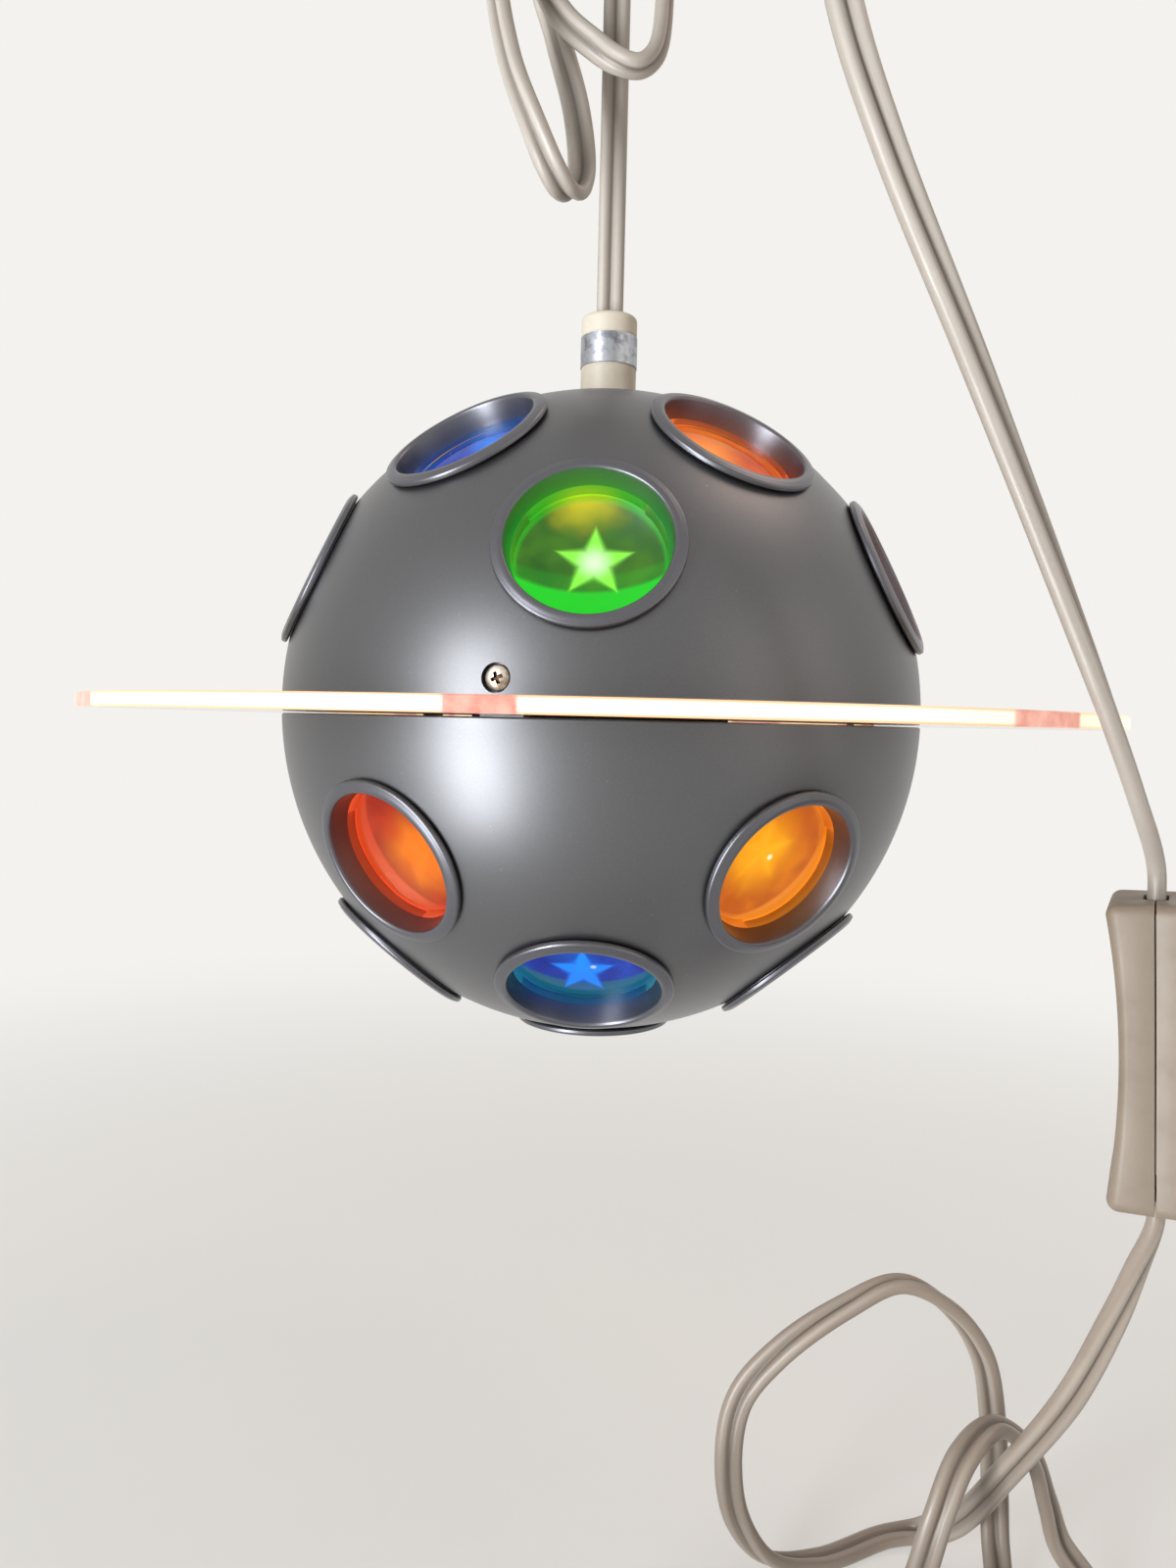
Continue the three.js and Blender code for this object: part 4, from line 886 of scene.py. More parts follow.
# %% [markdown]
# A lens is a dome of coloured acrylic, lit from behind through a star cut in the mask, so a soft star stands in it. Its
# foot stands in the bezel's bore, as a step under the dome. Its front is clear in the render and bends light only
# weakly, since the pale studio would wash the colour out of a stronger glass. Its back face carries the light, made by
# one group for all the lenses. It begins with a dark and a bright shade of the lens's colour in soft clouds.

# %% Light in the lenses
lens_light, l_in, l_out = new_group(
    "lens_light",
    [("Deep", "Color", rgb("1f3d05")), ("Field", "Color", rgb("3f7a0c")), ("Star", "Color", rgb("8cff3a")),
     ("Crescent", "Color", rgb("16d016")), ("Crescent Way", "Vector", (0.0, 1.0, 0.0)),
     ("Crescent Width", "Float", 0.3), ("Star Place", "Vector", (0.0, 0.0, 0.0)), ("Star Size", "Float", 0.5),
     ("Star Soft", "Float", 0.06), ("Star Heart", "Float", 0.7), ("Star Shape", "Vector", (1.0, 1.0, 1.0)),
     ("Spark Place", "Vector", (0.0, 0.0, 0.0)), ("Spark", "Float", 0.0), ("Blaze", "Color", rgb("ffb020")),
     ("Blaze Place", "Vector", (0.0, 0.0, 0.0)), ("Blaze Size", "Float", 0.6)],
    [("Color", "Color")],
)
window_uv = add_node(lens_light, "ShaderNodeUVMap", uv_map="window").outputs[0]
window_radius = vector_maths(lens_light, "LENGTH", window_uv)[1]
lens_clouds = noise(lens_light, window_uv, 2.3, 2.0, 0.45)
light = mixed(lens_light, remapped(lens_light, lens_clouds, 0.35, 0.7, smooth=True), l_in["Deep"], l_in["Field"])

# %% [markdown]
# A crescent lies along one side of a lens. It is the part of the disc that a larger circle, pushed to the other side,
# leaves open. The blaze is a broad soft patch, and the clouds fray its edge.

# %% Crescent and blaze
BLAZE_RAGGED = 0.12
crescent_end = maths(lens_light, "ADD", 1.0, vector_maths(lens_light, "LENGTH", l_in["Crescent Way"])[1])
crescent_start = maths(lens_light, "SUBTRACT", crescent_end, l_in["Crescent Width"])
past_start = maths(lens_light, "SUBTRACT", apart(lens_light, window_uv, l_in["Crescent Way"]), crescent_start)
crescent = remapped(lens_light, past_start, -0.03, 0.05, smooth=True)
light = mixed(lens_light, maths(lens_light, "MULTIPLY", crescent, 0.9), light, l_in["Crescent"])
raggedness = remapped(lens_light, lens_clouds, 0.3, 0.7, -BLAZE_RAGGED, BLAZE_RAGGED)
from_blaze = maths(lens_light, "ADD", apart(lens_light, window_uv, l_in["Blaze Place"]), raggedness)
blaze = remapped(lens_light, from_blaze, l_in["Blaze Size"], 0.0, smooth=True)
light = mixed(lens_light, blaze, light, l_in["Blaze"])

# %% [markdown]
# The star is a shape in polar coordinates: the turn round its middle is folded into one point's sector, and a straight
# edge runs from the tip to the notch. It stands in a faint halo and its heart can burn out to white. Last come a small
# spark and a rim in the crescent's colour.

# %% Star, spark and rim
STAR_POINTS, NOTCH_SHARE = 5, 0.42
POINT_TURN = 2 * math.pi / STAR_POINTS
HALO_REACH, HALO_SHARE, HEART_REACH = 1.25, 0.5, 0.6
SPARK_BAND, RIM_BAND, RIM_SHARE = (0.055, 0.03), (0.93, 1.0), 0.45
from_star = vector_maths(lens_light, "SUBTRACT", window_uv, l_in["Star Place"])[0]
from_star = vector_maths(lens_light, "DIVIDE", from_star, l_in["Star Shape"])[0]
star_radius = vector_maths(lens_light, "LENGTH", from_star)[1]
star_x, star_y = add_node(lens_light, "ShaderNodeSeparateXYZ", {0: from_star}).outputs[:2]
star_turn = maths(lens_light, "ADD", maths(lens_light, "ARCTAN2", star_x, star_y), STAR_POINTS * POINT_TURN)
folded = maths(lens_light, "PINGPONG", star_turn, POINT_TURN / 2)
to_notch = maths(lens_light, "SINE", maths(lens_light, "SUBTRACT", POINT_TURN / 2, folded))
edge_below = maths(lens_light, "ADD", maths(lens_light, "SINE", folded),
                   maths(lens_light, "MULTIPLY", NOTCH_SHARE, to_notch))
edge_above = maths(lens_light, "MULTIPLY", l_in["Star Size"], NOTCH_SHARE * math.sin(POINT_TURN / 2))
inside_star = maths(lens_light, "SUBTRACT", maths(lens_light, "DIVIDE", edge_above, edge_below), star_radius)
star_mask = remapped(lens_light, inside_star, maths(lens_light, "MULTIPLY", l_in["Star Soft"], -1.0),
                     l_in["Star Soft"], smooth=True)
halo_end = maths(lens_light, "MULTIPLY", l_in["Star Size"], HALO_REACH)
halo = remapped(lens_light, star_radius, halo_end, 0.0, 0.0, HALO_SHARE, smooth=True)
light = mixed(lens_light, halo, light, l_in["Field"])
light = mixed(lens_light, star_mask, light, l_in["Star"])
heart_end = maths(lens_light, "MULTIPLY", l_in["Star Size"], HEART_REACH)
heart = remapped(lens_light, star_radius, heart_end, 0.0, 0.0, l_in["Star Heart"], smooth=True)
light = mixed(lens_light, maths(lens_light, "MULTIPLY", heart, star_mask), light, rgb("fffff0"))
from_spark = apart(lens_light, window_uv, l_in["Spark Place"])
spark = maths(lens_light, "MULTIPLY", remapped(lens_light, from_spark, *SPARK_BAND, smooth=True), l_in["Spark"])
light = mixed(lens_light, spark, light, rgb("fffbe0"))
rim = remapped(lens_light, window_radius, *RIM_BAND, 0.0, RIM_SHARE, smooth=True)
light = mixed(lens_light, rim, light, l_in["Crescent"])
lens_light.links.new(light, l_out["Color"])
print("lens light:", len(lens_light.nodes), "nodes")

# %% [markdown]
# Each colour of lens has its own values for the group. The dome's glass gets a little of the same light without the
# star, so that it keeps its colour where it only mirrors the studio.

# %% Colours of the lenses
GREEN = dict(deep="1c5206", field="3f6f06", star="9dff4e", crescent="07c81c", crescent_way=(-0.05, 1.53, 0),
             crescent_width=0.6, star_place=(0.05, 0.03, 0), star_size=0.52, star_soft=0.08, star_heart=0.95,
             blaze="d0b60a", blaze_place=(-0.1, 0.95, 0), blaze_size=0.66)
BLUE = dict(deep="03187c", field="0638a8", star="0a8cff", crescent="0a6468", crescent_way=(0, 0.5, 0),
            crescent_width=0.3, star_place=(-0.05, -0.4, 0), star_size=0.46, star_soft=0.07, star_heart=0.0,
            star_shape=(1, 1.25, 1), blaze="0a8cff", blaze_place=(-0.1, 0.5, 0), blaze_size=0.55,
            spark_place=(0.1, -0.28, 0), spark=0.6)
ORANGE = dict(deep="a83403", field="d25607", star="ffa62c", crescent="e0732c", crescent_way=(0.3, 0.35, 0),
              crescent_width=0.2, star_place=(0.0, -0.1, 0), star_size=0.5, star_soft=0.2, star_heart=0.1,
              blaze="ffa030", blaze_place=(-0.05, 0.35, 0), blaze_size=0.75)
RED = dict(deep="941c02", field="b83204", star="ff8c14", crescent="cf4c22", crescent_way=(0.4, 0.2, 0),
           crescent_width=0.26, star_place=(0.2, -0.1, 0), star_size=0.34, star_soft=0.2, star_heart=0.0,
           blaze="ff9612", blaze_place=(0.14, -0.12, 0), blaze_size=0.85)
AMBER = dict(deep="b0500a", field="cc6a08", star="ffb21a", crescent="e58a2a", crescent_way=(-0.3, 0.3, 0),
             crescent_width=0.12, star_place=(0.0, 0.05, 0), star_size=0.4, star_soft=0.25, star_heart=0.0,
             blaze="ffb80a", blaze_place=(-0.08, 0.08, 0), blaze_size=0.8, spark_place=(0.16, -0.05, 0), spark=1.0)
LENS_LIGHTS = {"lens_green": GREEN, "lens_blue": BLUE, "lens_orange": ORANGE, "lens_red": RED, "lens_amber": AMBER}
LENS_GLASS = {"lens_green": "d8ffd8", "lens_blue": "cfe4ff", "lens_orange": "ffe0c4", "lens_red": "ffd2c4",
              "lens_amber": "ffe8c0"}
FRONT_GLOW, BACK_GLOW = 0.2, 1.0


def lens_finishes(kind):
    """Glass of the dome with a little of the light in it, and the lit back face."""
    glass, tree, shader = new_finish(kind + "_glass", transmission_weight=1.0, ior=1.12, roughness=0.03,
                                     base_color=rgb(LENS_GLASS[kind]))
    dented(tree, shader, noise(tree, object_place(tree), 90.0, 2.0), 0.12 * MM, 0.25)
    settings = {key: rgb(value) if isinstance(value, str) else value for key, value in LENS_LIGHTS[kind].items()}
    plain = dict(settings, star=settings["field"], star_size=0.01, star_heart=0.0, spark=0.0)
    tree.links.new(use_group(tree, lens_light, **plain)["Color"], shader.inputs["Emission Color"])
    shader.inputs["Emission Strength"].default_value = FRONT_GLOW
    lit, tree, shader = new_finish(kind + "_light", roughness=0.4, emission_strength=BACK_GLOW,
                                   base_color=rgb("101010"))
    tree.links.new(use_group(tree, lens_light, **settings)["Color"], shader.inputs["Emission Color"])
    return glass, lit


LENS_FINISHES = {kind: lens_finishes(kind) for kind in LENS_LIGHTS}
print("lens finishes:", ", ".join(LENS_FINISHES))

# %% Lenses
LENS_DOME, LENS_EDGE, LENS_STEP = 1.4 * MM, 1.8 * MM, 3.8 * MM
LENS_FOOT, LENS_RADIUS = BEZEL_BORE - 0.15 * MM, BEZEL_BORE + 0.35 * MM
LENS_CORNER, LENS_STEPS, DOME_ROWS = 0.3 * MM, 72, 14
lens_front = -(BEZEL_DEPTH + FIT_GAP)
lens_back = lens_front - LENS_EDGE
step_top = lens_front + LENS_STEP
dome_radius = (LENS_RADIUS ** 2 + LENS_DOME ** 2) / (2 * LENS_DOME)
dome_centre = step_top + LENS_DOME - dome_radius
dome = arc(dome_radius, math.asin((step_top - dome_centre) / dome_radius), math.pi / 2, DOME_ROWS, (0, dome_centre))
lens_profile = [(0, lens_back), (BARREL - LENS_CORNER, lens_back), (BARREL, lens_back + LENS_CORNER),
                (BARREL, lens_front), (LENS_FOOT, lens_front), *dome[:-1], (0, step_top + LENS_DOME)]
lens_pattern = smooth(turned("lens_pattern", lens_profile, LENS_STEPS, closed=False), 50)
window_map = lens_pattern.data.uv_layers.new(name="window")
for loop in lens_pattern.data.loops:
    corner = lens_pattern.data.vertices[loop.vertex_index].co
    window_map.data[loop.index].uv = (corner.x / BEZEL_BORE, corner.y / BEZEL_BORE)
for face in lens_pattern.data.polygons:
    face.material_index = int(face.center.z < lens_back + 0.01 * MM)
for name, latitude, longitude in WINDOWS:
    kind = lens_kind(name)
    lens = dressed_copy(lens_pattern, "star_lens_" + name, straight_out(latitude, longitude, seat_distance),
                        *LENS_FINISHES[kind])
    finished(lens, "lamp", kind, "lens_" + name)
print("lenses:", len(WINDOWS), "of", triangles(lens_pattern), "triangles")
bpy.data.objects.remove(lens_pattern)

# %% [markdown]
# ## Screws
# Three cross-recessed screws hold the halves together. Their steel has darkened a little, and the recess is painted
# nearly black as shade. Turned metal shows fine rings and scratches, so a stretched noise breaks up its roughness. The
# same group serves the brass blades of the plug.

# %% Bare metal group
STAINS, STRETCH = 380.0, 0.12
metal, m_in, m_out = new_group(
    "worn_metal",
    [("Metal", "Color", rgb("8f8a82")), ("Tarnish", "Color", rgb("4a4034")), ("Scale", "Float", 900.0)],
    FINISH_OUTPUTS,
)
metal_place = object_place(metal)
stretched = add_node(metal, "ShaderNodeMapping", {"Vector": metal_place, "Scale": (1.0, 1.0, STRETCH)}).outputs[0]
scratches = noise(metal, stretched, m_in["Scale"], 4.0, 0.7)
stains = noise(metal, metal_place, STAINS, 3.0, 0.6)
metal_colour = mixed(metal, remapped(metal, stains, 0.42, 0.7, smooth=True), m_in["Metal"], m_in["Tarnish"])
metal.links.new(metal_colour, m_out["Color"])
metal.links.new(remapped(metal, scratches, 0.3, 0.7, 0.25, 0.5), m_out["Roughness"])
metal.links.new(scratches, m_out["Height"])


def metal_finish(name, shade, tarnish, scale):
    """Worn metal in one shade."""
    material, tree, shader = new_finish(name, metallic=1.0)
    out = use_group(tree, metal, metal=rgb(shade), tarnish=rgb(tarnish), scale=scale)
    surfaced(tree, shader, out, 0.02 * MM, 0.4)
    return material


STEEL = metal_finish("screw_steel", "cfc3b4", "8f7f6c", 900.0)
# The steel inside the cross recess is painted nearly black, as shade.
RECESS_SHADE_STEEL = metal_finish("recess_shade", "3c2c20", "1e1610", 900.0)
BRASS = metal_finish("plug_brass", "cdb27a", "94784a", 700.0)
print("metal finishes:", STEEL.name, RECESS_SHADE_STEEL.name, BRASS.name)

# %% Shell screws
HEAD_DOME, HEAD_EDGE, HEAD_WALL = 6 * MM, 0.25 * MM, 0.35 * MM
RECESS_SIZE, RECESS_TAPER, RECESS_TURNS = (3.7 * MM, 1.0 * MM, 1.5 * MM), (0.45, 0.6), (22, 112)
RECESS_RADIUS, RECESS_SKIN = 1.9 * MM, 0.08 * MM
screw_length = head_back - lug_inner + MM
dome_middle = SCREW_HEAD_THICKNESS - HEAD_DOME
head_top = arc(HEAD_DOME, math.radians(66), math.pi / 2, 6, (0, dome_middle))
head_top = [(r, h) for r, h in head_top if r < SCREW_HEAD - HEAD_EDGE]
screw_profile = [(0, -screw_length), (SCREW_SHANK * 0.5, -screw_length), (SCREW_SHANK, -screw_length + 0.9 * MM),
                 (SCREW_SHANK, 0), (SCREW_HEAD, 0), (SCREW_HEAD, HEAD_WALL), *head_top[:-1], (0, SCREW_HEAD_THICKNESS)]
screw_pattern = turned("screw_pattern", screw_profile, 40, closed=False)


def recess_arm(turn):
    """One arm of the cross recess, narrower at its bottom."""
    arm = block("recess_arm", RECESS_SIZE, (0, 0, SCREW_HEAD_THICKNESS))
    for corner in arm.data.vertices:
        if corner.co.z < SCREW_HEAD_THICKNESS:
            corner.co.x *= RECESS_TAPER[0]
            corner.co.y *= RECESS_TAPER[1]
    return settled(arm, Matrix.Rotation(math.radians(turn), 4, "Z"))


for recess_turn in RECESS_TURNS:
    with_tools(screw_pattern, [recess_arm(recess_turn)])
smooth(screw_pattern, 28)
dressed(screw_pattern, STEEL, RECESS_SHADE_STEEL)
# The faces inside the cross recess take the nearly black steel: painted shade.
for face in screw_pattern.data.polygons:
    from_axis = math.hypot(face.center.x, face.center.y)
    below_dome = dome_middle + math.sqrt(HEAD_DOME ** 2 - min(from_axis, 3 * MM) ** 2) - face.center.z
    face.material_index = int(from_axis < RECESS_RADIUS and RECESS_SKIN < below_dome < SCREW_HEAD_THICKNESS)
for i, screw_turn in enumerate(screw_turns):
    place = straight_out(0, screw_turn, head_back)
    place.translation.z += SCREW_HEIGHT
    screw = copied(screw_pattern, f"cross_screw_{i + 1}", place)
    finished(screw, "lamp", "screw_steel", f"shell_screw_{i + 1}")
print("screws:", SCREW_COUNT, "of", triangles(screw_pattern), "triangles")
bpy.data.objects.remove(screw_pattern)

# %% [markdown]
# ## Cord grip
# A cream sleeve stands on top of the ball. Its spigot goes down through the shell into the lamp socket, and the cord
# comes out of its bore. A bare silver band is wrapped round its middle. The moulded plastics all share one group: a
# slightly cloudy colour, dirt that has settled in patches, and a faint pebbled surface.

# %% Moulded plastic group
DIRT_PATCHES, DIRT_BAND = 55.0, (0.42, 0.72)
moulded, d_in, d_out = new_group(
    "moulded_plastic",
    [("Plastic", "Color", rgb("d8cdb8")), ("Dirt", "Color", rgb("8a7a62")), ("Dirt Amount", "Float", 0.3),
     ("Smooth", "Float", 0.38), ("Rough", "Float", 0.55), ("Pebble", "Float", 1800.0)],
    FINISH_OUTPUTS,
)
moulded_place = object_place(moulded)
pebbles = noise(moulded, moulded_place, d_in["Pebble"], 2.0)
patches = noise(moulded, moulded_place, DIRT_PATCHES, 4.0, 0.6)
settled_dirt = maths(moulded, "MULTIPLY", remapped(moulded, patches, *DIRT_BAND, smooth=True), d_in["Dirt Amount"])
moulded.links.new(mixed(moulded, settled_dirt, d_in["Plastic"], d_in["Dirt"]), d_out["Color"])
moulded.links.new(remapped(moulded, patches, 0.3, 0.7, d_in["Smooth"], d_in["Rough"]), d_out["Roughness"])
moulded.links.new(pebbles, d_out["Height"])


def plastic_finish(name, shade, dirt, amount, smooth_value, rough_value, pebble, depth, **plain):
    """Moulded plastic in one shade."""
    material, tree, shader = new_finish(name, **plain)
    out = use_group(tree, moulded, plastic=rgb(shade), dirt=rgb(dirt), dirt_amount=amount, smooth=smooth_value,
                    rough=rough_value, pebble=pebble)
    surfaced(tree, shader, out, depth, 0.5)
    return material


GRIP_PLASTIC = plastic_finish("grip_plastic", "c6bdac", "948369", 0.35, 0.4, 0.55, 1500.0, 0.03 * MM,
                              subsurface_weight=0.1, subsurface_scale=0.004)
FOIL = metal_finish("label_foil", "a6a9af", "777a82", 300.0)
print("grip finishes:", GRIP_PLASTIC.name, FOIL.name)

# %% Grip and its band
GRIP_RADIUS, GRIP_BASE, GRIP_TOP, GRIP_BORE = 7.05 * MM, 80.3 * MM, 100.6 * MM, 3.9 * MM
GRIP_CORNER, GRIP_SHOULDER, GRIP_MOUTH, GRIP_STEPS = 0.3 * MM, 1.2 * MM, 0.6 * MM, 96
SPIGOT_RADIUS, SPIGOT_BOTTOM = 5 * MM, 68.3 * MM
BAND_BOTTOM, BAND_TOP, BAND_DEPTH = 87.7 * MM, 95.3 * MM, 0.16 * MM
BAND_SEAT, BAND_SINK, BAND_CORNER, BAND_EDGE = 0.12 * MM, 0.1 * MM, 0.06 * MM, 0.08 * MM
grip_shoulder = arc(GRIP_SHOULDER, 0, math.pi / 2, 6, (GRIP_RADIUS - GRIP_SHOULDER, GRIP_TOP - GRIP_SHOULDER))
grip_mouth = arc(GRIP_MOUTH, math.pi / 2, math.pi, 4, (GRIP_BORE + GRIP_MOUTH, GRIP_TOP - GRIP_MOUTH))
grip_profile = [
    (GRIP_BORE, SPIGOT_BOTTOM), (SPIGOT_RADIUS, SPIGOT_BOTTOM), (SPIGOT_RADIUS, GRIP_BASE),
    (GRIP_RADIUS - GRIP_CORNER, GRIP_BASE), (GRIP_RADIUS, GRIP_BASE + GRIP_CORNER),
    (GRIP_RADIUS, BAND_BOTTOM - 0.5 * MM), (GRIP_RADIUS - BAND_SEAT, BAND_BOTTOM - 0.35 * MM),
    (GRIP_RADIUS - BAND_SEAT, BAND_TOP + 0.35 * MM), (GRIP_RADIUS, BAND_TOP + 0.5 * MM),
    *grip_shoulder, *grip_mouth,
]
grip = settled(turned("grip_sleeve", grip_profile, GRIP_STEPS), BALL_PLACE)
finished(dressed(smooth(grip), GRIP_PLASTIC), "lamp", "grip_plastic", "cord_grip")
band_profile = [
    (GRIP_RADIUS - BAND_SINK, BAND_BOTTOM), (GRIP_RADIUS + BAND_DEPTH - BAND_CORNER, BAND_BOTTOM),
    (GRIP_RADIUS + BAND_DEPTH, BAND_BOTTOM + BAND_EDGE), (GRIP_RADIUS + BAND_DEPTH, BAND_TOP - BAND_EDGE),
    (GRIP_RADIUS + BAND_DEPTH - BAND_CORNER, BAND_TOP), (GRIP_RADIUS - BAND_SINK, BAND_TOP),
]
band = settled(turned("grip_band", band_profile, GRIP_STEPS), BALL_PLACE)
finished(dressed(smooth(band), FOIL), "lamp", "grip_plastic")
print("grip:", triangles(grip), "and band:", triangles(band), "triangles")

# %% [markdown]
# ## Inline switch
# The switch is a case in two halves that meet at a seam. The front half is flat and holds the rocker between two
# cheeks, which are bored for its pin, and the back half is dished to fit the fingers. Everything is modelled upright,
# with the front along X, and then put in place with one matrix.

# %% Place and sizes of the switch
SWITCH_FRAME = (Matrix.Translation(mm(111.9, -76.3, -248.4)) @ Matrix.Rotation(math.radians(-23.3), 4, "Z")
                @ Matrix.Rotation(math.radians(-2.5), 4, "Y"))
CASE_LENGTH, CASE_WIDTH, CASE_HALF_DEPTH, CASE_WAIST = 58 * MM, 26 * MM, 8.4 * MM, 2.2 * MM
CASE_WALL, CASE_ROUNDING, CASE_SEAM, CORD_GAP = 1.6 * MM, 2.2 * MM, 0.3 * MM, 0.5 * MM
CASE_ROWS, EDGE_BREAK = 14, 0.15 * MM
SLOT_WIDTH, SLOT_DEPTH, SLOT_LENGTH = CORD_WIDTH + 2 * CORD_GAP, CORD_THICKNESS + 2 * CORD_GAP, 14 * MM
WELL_RADIUS, WELL_DEPTH = 2.6 * MM, 2.6 * MM
WELL_PLACE, WELL_FLOOR, WELL_OFFSET = -7.2, -5.55, 17.5  # in millimetres
WELL_SLOT_LENGTH, WELL_SLOT_WIDTH, WELL_SLOT_DEPTH = 3.0 * MM, 0.6 * MM, 0.9 * MM
WINDOW_LENGTH, WINDOW_WIDTH, WINDOW_CORNER = 16 * MM, 9 * MM, 0.7 * MM
RIM_MARGIN, RIM_THICKNESS, RIM_SINK, RIM_ROUNDING = 3.2 * MM, 0.9 * MM, 0.25 * MM, 0.4 * MM
CHEEK_SIZE, CHEEK_DEPTH, CHEEK_OFFSET = (7.0 * MM, 1.6 * MM, 8 * MM), 3.9 * MM, 5.3 * MM
ROCKER_LENGTH, ROCKER_PIVOT, ROCKER_TIP = 13.2 * MM, 3.0 * MM, 6.2 * MM
ROCKER_DISH, ROCKER_SKIRT, ROCKER_TILT, ROCKER_ROWS = 1.2 * MM, 3.7 * MM, -8, 12
PIN_RADIUS, PIN_BORE_LENGTH = 1.2 * MM, 14 * MM
across_case = Matrix.Rotation(math.pi / 2, 4, "X")
pivot_place = Matrix.Translation(Vector((ROCKER_PIVOT, 0, 0)))
# The case and the rocker are a darker beige than the cord: partly their own colour, partly painted shade.
CASE_PLASTIC = plastic_finish("switch_plastic", "7f7263", "584b3d", 0.35, 0.42, 0.58, 1300.0, 0.05 * MM,
                              subsurface_weight=0.08, subsurface_scale=0.003)
ROCKER_PLASTIC = plastic_finish("rocker_plastic", "796b5c", "4f4134", 0.4, 0.32, 0.5, 1500.0, 0.03 * MM)
print("switch finishes:", CASE_PLASTIC.name, ROCKER_PLASTIC.name)

# %% [markdown]
# In edit mode an operator acts on what is selected, so faces and edges are picked in code, by where they are. A side
# that is to be dished or twisted needs rows of faces first, and bisect cuts them in.

# %% Selecting and slicing in edit mode
ALONG_X, ALONG_Z = Vector((1, 0, 0)), Vector((0, 0, 1))


def select_faces(piece, test):
    """In edit mode, only the faces whose centre and normal pass the test."""
    bpy.ops.mesh.select_mode(type="FACE")
    bpy.ops.mesh.select_all(action="DESELECT")
    cage = bmesh.from_edit_mesh(piece.data)
    for face in cage.faces:
        face.select_set(test(face.calc_center_median(), face.normal))
    bmesh.update_edit_mesh(piece.data)


def select_edges(piece, test):
    """In edit mode, only the edges whose two ends pass the test."""
    bpy.ops.mesh.select_mode(type="EDGE")
    bpy.ops.mesh.select_all(action="DESELECT")
    cage = bmesh.from_edit_mesh(piece.data)
    for edge in cage.edges:
        edge.select_set(test(edge.verts[0].co, edge.verts[1].co))
    bmesh.update_edit_mesh(piece.data)


def sliced(axis, places):
    """In edit mode, cuts rows into the whole piece at these places along an axis."""
    for place in places:
        bpy.ops.mesh.select_all(action="SELECT")
        bpy.ops.mesh.bisect(plane_co=[part * place for part in axis], plane_no=axis)


# %% [markdown]
# Each half starts as a box whose free corners are rounded, is cut into rows along its length so that it can be dished,
# and is then hollowed and slotted for the cord. Two small screws sit in wells in the back half.

# %% Case halves
def case_half(name, side, waist):
    """One hollow half of the case, open at the seam: side is 1 for the front and -1 for the back."""
    seam = CASE_SEAM / 2
    piece = block(name, (CASE_HALF_DEPTH - seam, CASE_WIDTH, CASE_LENGTH), (side * (CASE_HALF_DEPTH + seam) / 2, 0, 0))
    bpy.ops.object.mode_set(mode="EDIT")
    select_edges(piece, lambda a, b: not (abs(a.x - side * seam) < 1e-5 and abs(b.x - side * seam) < 1e-5))
    bpy.ops.mesh.bevel(offset=CASE_ROUNDING, segments=6, profile=0.5, affect="EDGES", clamp_overlap=True)
    sliced(ALONG_Z, [(row / CASE_ROWS - 0.5) * (CASE_LENGTH - 2 * CASE_ROUNDING) for row in range(1, CASE_ROWS)])
    select_faces(piece, lambda centre, normal: abs(normal.x + side) < 0.01)
    bpy.ops.mesh.delete(type="FACE")
    bpy.ops.object.mode_set(mode="OBJECT")
    for corner in piece.data.vertices:
        along_case = min(abs(corner.co.z) / (CASE_LENGTH / 2 - CASE_ROUNDING), 1)
        corner.co.x -= side * waist * (1 - along_case ** 2) * abs(corner.co.x) / CASE_HALF_DEPTH
    applied(piece, "SOLIDIFY", thickness=CASE_WALL, offset=-1, use_even_offset=True)
    slot_size = (SLOT_DEPTH, SLOT_WIDTH, SLOT_LENGTH)
    with_tools(piece, [block("cord_slot", slot_size, (0, 0, end * CASE_LENGTH / 2), 0.6 * MM, 2) for end in (-1, 1)])
    rounded(piece, EDGE_BREAK)
    return piece


def case_screw():
    """A small screw for the back of the case, with a cross cut in its dome."""
    dome_points = [(0, -1 * MM), (2.2 * MM, -1 * MM), (2.3 * MM, -0.3 * MM), (2.1 * MM, 0.1 * MM),
                   (1.2 * MM, 0.35 * MM), (0, 0.4 * MM)]
    piece = turned("case_screw", dome_points, BORE_SIDES, closed=False)
    for length, width in ((WELL_SLOT_LENGTH, WELL_SLOT_WIDTH), (WELL_SLOT_WIDTH, WELL_SLOT_LENGTH)):
        with_tools(piece, [block("slot", (length, width, WELL_SLOT_DEPTH), (0, 0, 0.4 * MM))])
    return piece


case_back = case_half("switch_case_dished", -1, CASE_WAIST)
case_screws = []
for end in (-1, 1):
    well_place = Matrix.Translation(mm(WELL_PLACE, 0, end * WELL_OFFSET)) @ Matrix.Rotation(math.pi / 2, 4, "Y")
    with_tools(case_back, [drum("screw_well", WELL_RADIUS, WELL_DEPTH, BORE_SIDES, well_place)])
    floor_place = Matrix.Translation(mm(WELL_FLOOR, 0, end * WELL_OFFSET)) @ Matrix.Rotation(-math.pi / 2, 4, "Y")
    case_screws.append(settled(smooth(case_screw()), SWITCH_FRAME @ floor_place))
case_front = case_half("switch_case_flat", 1, 0)
with_tools(case_front, [block("rocker_window", (8 * MM, WINDOW_WIDTH, WINDOW_LENGTH), (CASE_HALF_DEPTH, 0, 0),
                              WINDOW_CORNER, 3)])
cheeks = [block("cheek", CHEEK_SIZE, (CHEEK_DEPTH, side * CHEEK_OFFSET, 0)) for side in (-1, 1)]
with_tools(case_front, cheeks, "UNION")
pin_bore = drum("pin_bore", PIN_RADIUS + FIT_GAP, PIN_BORE_LENGTH, BORE_SIDES, pivot_place @ across_case)
with_tools(case_front, [pin_bore])
